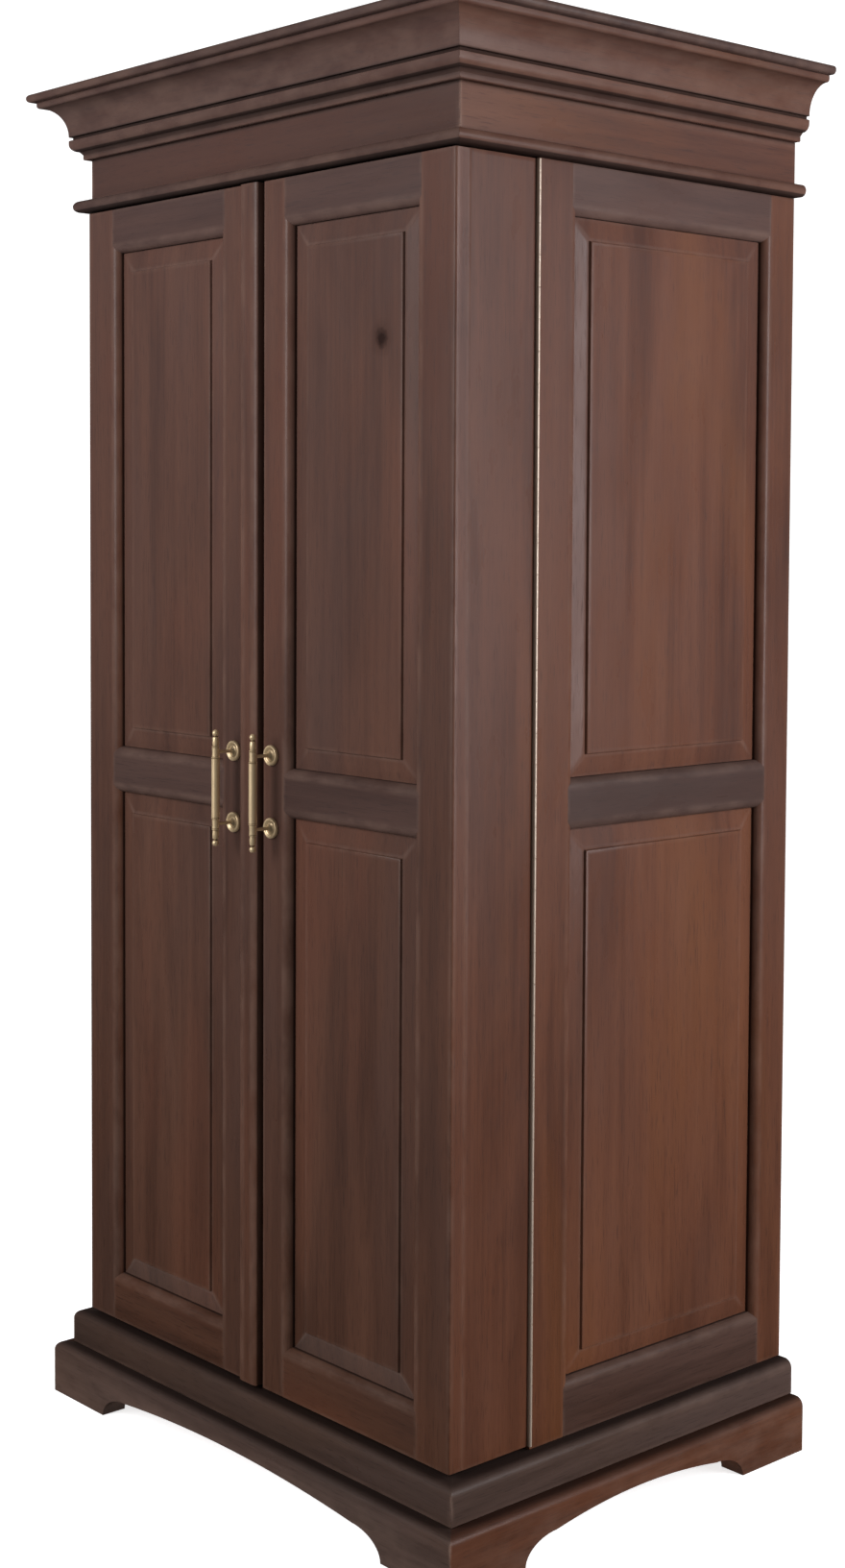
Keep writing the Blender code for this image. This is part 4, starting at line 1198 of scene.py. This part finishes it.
@dataclass
class Door(Flank):
    """A box-like door with its bar pull."""

    strip_edge: float = 0.0012
    strip_round: float = 0.010
    rebate: float = 0.008
    board_round: float = 0.0004
    guard_round: float = 0.003
    side_seed: int = 71
    knot: Optional[Knot] = None

    def node(self, piece: str) -> str:
        """The name of one of the door's solids."""
        return "%s_%s" % (self.door, piece)

    def planed(self, piece: str, bm: BMesh, finish: WoodFinish, grain: Grain, tone: float = 1.0,
               **look: object) -> None:
        """Hand over a planed piece of the door's front."""
        node = self.node(piece)
        self.bench.wooden(node + "_planed", bm, self.door, node, finish, grain, tone, **look)

    def build(self) -> None:
        """Build the front, the box behind it and the pull."""
        self.build_front()
        self.build_box()
        Pull(self.bench, self.side).build()

    def build_front(self) -> None:
        """Stiles, rails and panels, and the strip beside the joint."""
        out = Vector((0.0, -1.0, 0.0))
        away = Vector((self.side.value, 0.0, 0.0))
        lap = self.joinery.sticking
        bm = self.joinery.member(*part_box(self.node("hinge_stile")), out, [-away], away)
        # The hinge stile's sideways face gets the side's lighter wood: painted side light.
        self.planed("hinge_stile", bm, FRONT_WOOD, Grain.ALONG_Z, seed=self.side_seed, flank=SIDE_WOOD)
        self.planed("meeting_stile", self.meeting_stile(out, away), FRONT_WOOD, Grain.ALONG_Z, 0.96)
        rails = (("bottom_rail", [UP], FRONT_WOOD, 0.90), ("mid_rail", [UP, DOWN], COOL_WOOD, 0.96),
                 ("top_rail", [DOWN], COOL_WOOD, 0.90))
        for rail, ways, wood, tone in rails:
            low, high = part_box(self.node(rail))
            bm = self.joinery.member((low.x - lap, low.y, low.z), (high.x + lap, high.y - JOINT_SLIP, high.z),
                                     out, ways)
            self.planed(rail, bm, wood, Grain.ALONG_X, tone)
        # Only the lower panels get the painted reflection on their lower bevels.
        for level, knot, tone, dust in (("lower", None, 1.06, 0.06), ("upper", self.knot, 1.14, 0.0)):
            self.fielded(self.node(level + "_panel"), out, self.door, FRONT_WOOD, tone, knot=knot, dust=dust)
        if self.side is Side.LEFT:
            self.build_strip()

    def meeting_stile(self, out: Vector, away: Vector) -> BMesh:
        """The stile beside the joint, which on the right door is stepped back along its edge.

        Args:
            out: the way that the door's face looks.
            away: the way from the joint to the hinge.

        Returns:
            The stile's shape.
        """
        low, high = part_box(self.node("meeting_stile"))
        if self.side is Side.LEFT:
            return self.joinery.member(low, high, out, [away])
        face = self.joinery.member((low.x + self.rebate, low.y, low.z), high, out, [away])
        step = block((low.x, low.y + self.rebate, low.z), (low.x + self.rebate, high.y, high.z))
        # Painted shade over the whole step, a dark channel beside the strip.
        tuck(step, lambda co: 1.0)
        return joined([face, step])

    def build_strip(self) -> None:
        """The strip along the left door's meeting edge, with rounded shoulders."""
        low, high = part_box(self.node("meeting_strip"))
        foot = high.y - self.strip_edge
        oval = (self.strip_round, foot - low.y)
        section = [(low.x, high.y)] + arc((low.x + self.strip_round, foot), oval, 180.0, 270.0, 9)
        section += arc((high.x - self.strip_round, foot), oval, 270.0, 360.0, 9) + [(high.x, high.y)]
        bm = prism([(x, y, low.z) for x, y in section], (0.0, 0.0, high.z - low.z))
        self.planed("meeting_strip", bm, FRONT_WOOD, Grain.ALONG_Z)

    def build_box(self) -> None:
        """Boards behind the front, the shelf and the guard rails."""
        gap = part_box(self.node("hinge_side"))[0].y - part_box(self.node("hinge_stile"))[1].y
        drawn_up = {"seed": self.side_seed, "lap": gap - JOINT_SLIP / 4}
        rounder = {"radius": self.guard_round}
        boards = (("meeting_side", DARK_WOOD, Grain.ALONG_Z, {}),
                  ("hinge_side", SIDE_WOOD, Grain.ALONG_Z, drawn_up),
                  ("bottom_board", DARK_WOOD, Grain.ALONG_X, {}),
                  ("top_board", DARK_WOOD, Grain.ALONG_X, {}),
                  ("shelf", INNER_WOOD, Grain.ALONG_X, {}),
                  ("lower_guard", INNER_WOOD, Grain.ALONG_X, rounder),
                  ("upper_guard", INNER_WOOD, Grain.ALONG_X, rounder))
        for piece, finish, grain, change in boards:
            how = {"radius": self.board_round, **change}
            self.bench.board(self.node(piece), self.door, finish, grain, **how)
        LOG.info("%s: seam of %.2f mm closed", self.door, gap * 1000.0)


@dataclass
class Pull(Flank):
    """A turned bar pull: the bar, and two posts with dished rosettes."""

    bar: float = 0.0055
    collar: float = 0.0048
    collar_half: float = 0.006
    end: float = 0.0040
    neck: float = 0.0026
    finial: float = 0.0045
    groove: float = 0.0014
    lip: float = 0.0004
    crest: float = 0.0003
    dip: float = 0.0006
    waist: float = 0.0002
    swell: float = 0.00005
    post: float = 0.0023
    post_sink: float = 0.0006
    flare: float = 0.0037
    rosette: float = 0.0135

    def build(self) -> None:
        """Turn the bar and the posts."""
        bar = self.side.word + "_handle_bar"
        low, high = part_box(bar)
        centre = middle((low, high))
        posts = ["%s_handle_%s_post" % (self.side.word, level) for level in ("upper", "lower")]
        profile = self.bar_profile((high.z - low.z) / 2, middle(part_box(posts[0])).z - centre.z)
        self.bench.brazen(bar + "_turned", set_down(turned(profile), centre), self.door, bar, BRASS)
        for post in posts:
            low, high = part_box(post)
            centre = middle((low, high))
            bm = turned(self.post_profile(high.y - low.y + self.post_sink))
            set_down(bm, (centre.x, high.y, centre.z), math.pi / 2)
            self.bench.brazen(post + "_turned", bm, self.door, post, BRASS)

    def bar_profile(self, half: float, reach: float) -> list[Point]:
        """Profile of the bar from its upper tip to its lower tip.

        Args:
            half: half of the bar's length.
            reach: height of the upper post over the bar's middle.

        Returns:
            Points of (radius, height).
        """
        angle = math.degrees(math.acos(self.neck / self.finial))
        inner, outer = reach - self.collar_half, reach + self.collar_half
        points = arc((0.0, half - self.finial), (self.finial, self.finial), 90.0, -angle, 12)
        foot = points[-1][1] - self.groove
        points += [(self.neck, foot), (self.end * 0.86, foot - self.lip), (self.end, foot - self.groove)]
        points += [(self.end + self.lip, (foot + outer) / 2), (self.end, outer + 2.4 * self.groove)]
        points += self.ring(outer + self.groove, self.end, self.collar)
        points += [(self.collar, outer - self.lip), (self.collar - self.waist, reach)]
        points += [(self.collar, inner + self.lip)]
        points += self.ring(inner - self.groove, self.collar, self.bar)
        points += [(self.bar, inner - 2.6 * self.groove), (self.bar + self.swell, 0.0)]
        return points + [(radius, -height) for radius, height in reversed(points[:-1])]

    def ring(self, height: float, above: float, below: float) -> list[Point]:
        """A small raised ring between two grooves.

        Args:
            height: the height of its middle.
            above: the radius over it.
            below: the radius under it.

        Returns:
            Points of (radius, height).
        """
        crest = max(above, below) + self.crest
        dip = min(above, below) - self.dip
        shape = ((above, 1.0), (dip, 0.75), (crest - self.lip, 0.45), (crest, 0.0), (crest - self.lip, -0.45),
                 (dip, -0.75), (below, -1.0))
        return [(radius, height + step * self.groove) for radius, step in shape]

    def post_profile(self, length: float) -> list[Point]:
        """Profile of a post from its tip to the middle of its rosette's foot.

        Args:
            length: the post's length.

        Returns:
            Points of (radius, height).
        """
        rim = self.rosette
        ring = (self.post + rim) / 2
        points = [(0.0, length), (self.post, length), (self.post, 0.0095), (self.post + self.lip, 0.0080)]
        points += [(self.flare - 0.0003, 0.0064), (self.flare + 0.0008, 0.0046), (ring - 0.0012, 0.0034)]
        points += [(ring, 0.0031), (ring + 0.0012, 0.0036)]
        points += arc(((ring + rim) / 2 + 0.0008, 0.0030), (0.0021, 0.0020), 150.0, 0.0, 8)
        return points + [(rim, 0.0022), (rim, 0.0007), (rim - 0.0003, 0.0003), (0.0, 0.0003)]


@dataclass
class PianoHinge(Flank):
    """A full-height brass hinge: two leaves, their knuckles and countersunk screws."""

    knuckles: int = 41
    barrel: float = 0.0025
    knuckle_gap: float = 0.0003
    leaf: float = 0.0012
    leaf_gap: float = 0.0004
    leaf_width: float = 0.016
    leaf_inset: float = 0.0017
    screws: int = 13
    screw_radius: float = 0.0032
    screw_depth: float = 0.0004
    screw_rim: float = 0.0005
    screw_rise: float = 0.00008

    def build(self) -> None:
        """Build the leaf on the carcass and the leaf on the door."""
        name = self.side.word + "_hinge_"
        low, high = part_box(name + "carcass_leaf")
        axis_x = high.x - self.barrel if self.side is Side.RIGHT else low.x + self.barrel
        axis = Vector((axis_x, low.y + self.barrel, low.z))
        height = high.z - low.z
        for leaf, first, way, body in (("carcass_leaf", 0, 1.0, CARCASS), ("door_leaf", 1, -1.0, self.door)):
            parts = [self.strip(axis, height, way)]
            parts += [self.knuckle(axis, height, index) for index in range(first, self.knuckles, 2)]
            parts += [self.screw(axis, height, way, index) for index in range(self.screws)]
            self.bench.brazen("%s%s_folded" % (name, leaf), joined(parts), body, name + leaf, PALE_BRASS)

    def strip(self, axis: Vector, height: float, way: float) -> BMesh:
        """The flat of one leaf.

        Args:
            axis: the foot of the pin's axis.
            height: the hinge's height.
            way: the side of the axis that the leaf is on, 1 for the back and -1 for the front.

        Returns:
            The flat.
        """
        near = axis.y + way * self.leaf_gap / 2
        y0, y1 = sorted((near, near + way * self.leaf))
        inner = axis.x - self.side.value * (self.barrel + self.knuckle_gap + self.leaf_width)
        x0, x1 = sorted((inner, axis.x - self.side.value * self.leaf_inset))
        return block((x0, y0, axis.z), (x1, y1, axis.z + height))

    def knuckle(self, axis: Vector, height: float, index: int) -> BMesh:
        """One rolled knuckle.

        Args:
            axis: the foot of the pin's axis.
            height: the hinge's height.
            index: its place in the row, from the foot up.

        Returns:
            The knuckle.
        """
        pitch = height / self.knuckles
        bm = disc(self.barrel, pitch - self.knuckle_gap, 18)
        ease(bm, sharp, self.knuckle_gap, 1)
        return set_down(bm, (axis.x, axis.y, axis.z + pitch * (index + 0.5)))

    def screw(self, axis: Vector, height: float, way: float, index: int) -> BMesh:
        """One screw head, flush in the open face of a leaf.

        Args:
            axis: the foot of the pin's axis.
            height: the hinge's height.
            way: the side of the axis that the leaf is on, 1 for the back and -1 for the front.
            index: its place in the row, from the foot up.

        Returns:
            The screw head.
        """
        bm = disc(self.screw_radius, self.screw_depth, 20)
        top = max(bm.faces, key=lambda face: face.calc_center_median().z * len(face.verts))
        bmesh.ops.inset_region(bm, faces=[top], thickness=self.screw_rim, depth=0.0)
        spot = axis.x - self.side.value * (self.barrel + self.leaf_width / 2)
        face = axis.y + way * (self.leaf_gap / 2 + self.screw_rise)
        pitch = height / self.screws
        return set_down(bm, (spot, face, axis.z + pitch * (index + 0.5)), way * math.pi / 2)


@dataclass
class Inside:
    """Back, soffit and shelves, and the rear rail of the plinth."""

    bench: Bench
    nodes: dict
    shelf_round: float = 0.003
    first_seed: int = 40

    def build(self) -> None:
        """Build the plain boards, and dress the shaped solids as they are."""
        self.bench.board("back_panel", CARCASS, INNER_WOOD, Grain.ALONG_Z, 0.8)
        self.bench.board("carcass_top", CARCASS, INNER_WOOD, Grain.ALONG_X)
        self.bench.board("counter_shelf", CARCASS, INNER_WOOD, Grain.ALONG_X, 1.05, self.shelf_round)
        shaped = (("bottle_shelf", INNER_WOOD), ("stemware_shelf", INNER_WOOD),
                  ("plinth_rear_rail", DARK_WOOD))
        for seed, (node, finish) in enumerate(shaped, self.first_seed):
            solid = self.nodes[node]
            solid.data.materials.clear()
            solid.data.materials.append(finish.material(node, Grain.ALONG_X, seed))
            LOG.info("%s dressed as it is", node)


@dataclass(frozen=True)
class Lamp:
    """A soft rectangular studio lamp."""

    name: str
    place: Triple
    aim: Triple
    size: Point
    watts: float
    colour: Colour

    def light(self) -> None:
        """Put the lamp into the scene."""
        data = bpy.data.lights.new(self.name, "AREA")
        data.shape = "RECTANGLE"
        data.size, data.size_y = self.size
        data.energy = self.watts
        data.color = self.colour
        lamp = bpy.data.objects.new(self.name, data)
        way = Vector(self.aim) - Vector(self.place)
        lamp.matrix_world = Matrix.Translation(self.place) @ way.to_track_quat("-Z", "Y").to_matrix().to_4x4()
        bpy.context.scene.collection.objects.link(lamp)


@dataclass
class Studio:
    """Pale floor, soft lamps and the camera."""

    lamps: tuple[Lamp, ...] = (
        Lamp("right_window", (3.06, 1.30, 1.5), (0.38, -0.06, 1.1), (1.0, 2.1), 96.0, (0.92, 0.95, 1.0)),
        Lamp("left_window", (-0.7, -3.5, 2.2), (0.1, -0.2, 1.2), (1.6, 2.2), 103.0, (0.97, 0.98, 1.0)),
    )
    floor_size: float = 20.0
    floor_colour: Colour = (0.96, 0.96, 0.96)
    floor_mottle: float = 0.985
    floor_roughness: float = 0.85
    floor_glow: float = 0.75
    sky: float = 1.3
    dark_side: float = 0.35
    dark_way: Triple = (0.72, -0.69, 0.0)
    dark_span: Point = (-0.25, 0.55)
    zenith: float = 0.2
    overhead: Point = (0.36, 0.75)
    eye: Triple = (2.330, -2.078, 1.271)
    yaw: float = 48.47
    pitch: float = 2.85
    roll: float = 0.263
    focal: float = 2310.3
    sensor: float = 36.0
    centre: Point = (422.7, 670.0)
    picture: tuple[int, int] = (880, 1632)

    def build(self) -> None:
        """Set the stage."""
        self.build_floor()
        for lamp in self.lamps:
            lamp.light()
        self.build_sky()
        bpy.context.scene.view_settings.view_transform = "Standard"
        self.build_camera()

    def build_sky(self) -> None:
        """A white backdrop, whose light is dimmer overhead and on the side that the near corner looks at."""
        tree = Tree(bpy.data.worlds.new("studio"), "Background")
        way = tree.add("TexCoord").outputs["Generated"]
        towards = tree.add("VectorMath", {"operation": "DOT_PRODUCT"})
        tree.feed(towards.inputs[0], way)
        tree.feed(towards.inputs[1], self.dark_way)
        fade = tree.between(towards.outputs["Value"], *self.dark_span, self.sky, self.dark_side, "SMOOTHSTEP")
        light = tree.times(fade, tree.between(tree.part(way, "Z"), *self.overhead, 1.0, self.zenith))
        seen = tree.add("LightPath").outputs["Is Camera Ray"]
        tree.fill(tree.shader, Color=WHITE, Strength=tree.between(seen, 0.0, 1.0, light, self.sky))
        tree.owner.cycles_visibility.glossy = False
        bpy.context.scene.world = tree.owner

    def build_floor(self) -> None:
        """Lay the pale floor."""
        bm = bmesh.new()
        bmesh.ops.create_grid(bm, x_segments=1, y_segments=1, size=self.floor_size)
        mesh = bpy.data.meshes.new("floor")
        bm.to_mesh(mesh)
        bm.free()
        tree = Tree(bpy.data.materials.new("floor_paint"))
        low = tuple(value * self.floor_mottle for value in self.floor_colour)
        paint = tree.ramp(tree.noise(tree.coordinates(), MOTTLE), ((0.3, low), (0.7, self.floor_colour)))
        tree.fill(tree.shader, Base_Color=paint, Roughness=self.floor_roughness, Emission_Color=WHITE,
                  Emission_Strength=self.floor_glow)
        mesh.materials.append(tree.owner)
        floor = bpy.data.objects.new("floor", mesh)
        floor.visible_diffuse = False
        floor.visible_glossy = False
        bpy.context.scene.collection.objects.link(floor)

    def build_camera(self) -> None:
        """Stand the camera where the photograph was taken."""
        yaw, pitch, roll = (math.radians(value) for value in (self.yaw, self.pitch, self.roll))
        ahead = Vector((-math.sin(yaw) * math.cos(pitch), math.cos(yaw) * math.cos(pitch), -math.sin(pitch)))
        right = Vector((math.cos(yaw), math.sin(yaw), 0.0))
        up = right.cross(ahead)
        across = math.cos(roll) * right + math.sin(roll) * up
        upward = -math.sin(roll) * right + math.cos(roll) * up
        data = bpy.data.cameras.new("camera")
        width, height = self.picture
        data.sensor_width = self.sensor
        data.lens = self.focal * self.sensor / height
        data.shift_x = (width / 2 - self.centre[0]) / height
        data.shift_y = (self.centre[1] - height / 2) / height
        camera = bpy.data.objects.new("camera", data)
        turn = Matrix((across, upward, -ahead)).transposed()
        camera.matrix_world = Matrix.Translation(self.eye) @ turn.to_4x4()
        bpy.context.scene.collection.objects.link(camera)
        bpy.context.scene.camera = camera


def main() -> None:
    """Build the cabinet, then the studio."""
    logging.basicConfig(level=logging.INFO, format="%(name)s: %(message)s")
    for item in list(bpy.data.objects):
        bpy.data.objects.remove(item, do_unlink=True)
    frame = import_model()
    rear_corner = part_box("right_side_frame")[1]
    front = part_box("frieze")[0].y + Head.frieze_reach
    bench = Bench()
    for course in (Base, Head):
        course(bench, rear_corner.x, front, rear_corner.y).build()
    for side in Side:
        FixedSide(bench, side).build()
        Door(bench, side, knot=PANEL_KNOT if side is Side.RIGHT else None).build()
        PianoHinge(bench, side).build()
    Inside(bench, frame["nodes"]).build()
    Studio().build()
    LOG.info("%d pieces", bench.count)


if __name__ == "__main__":
    main()
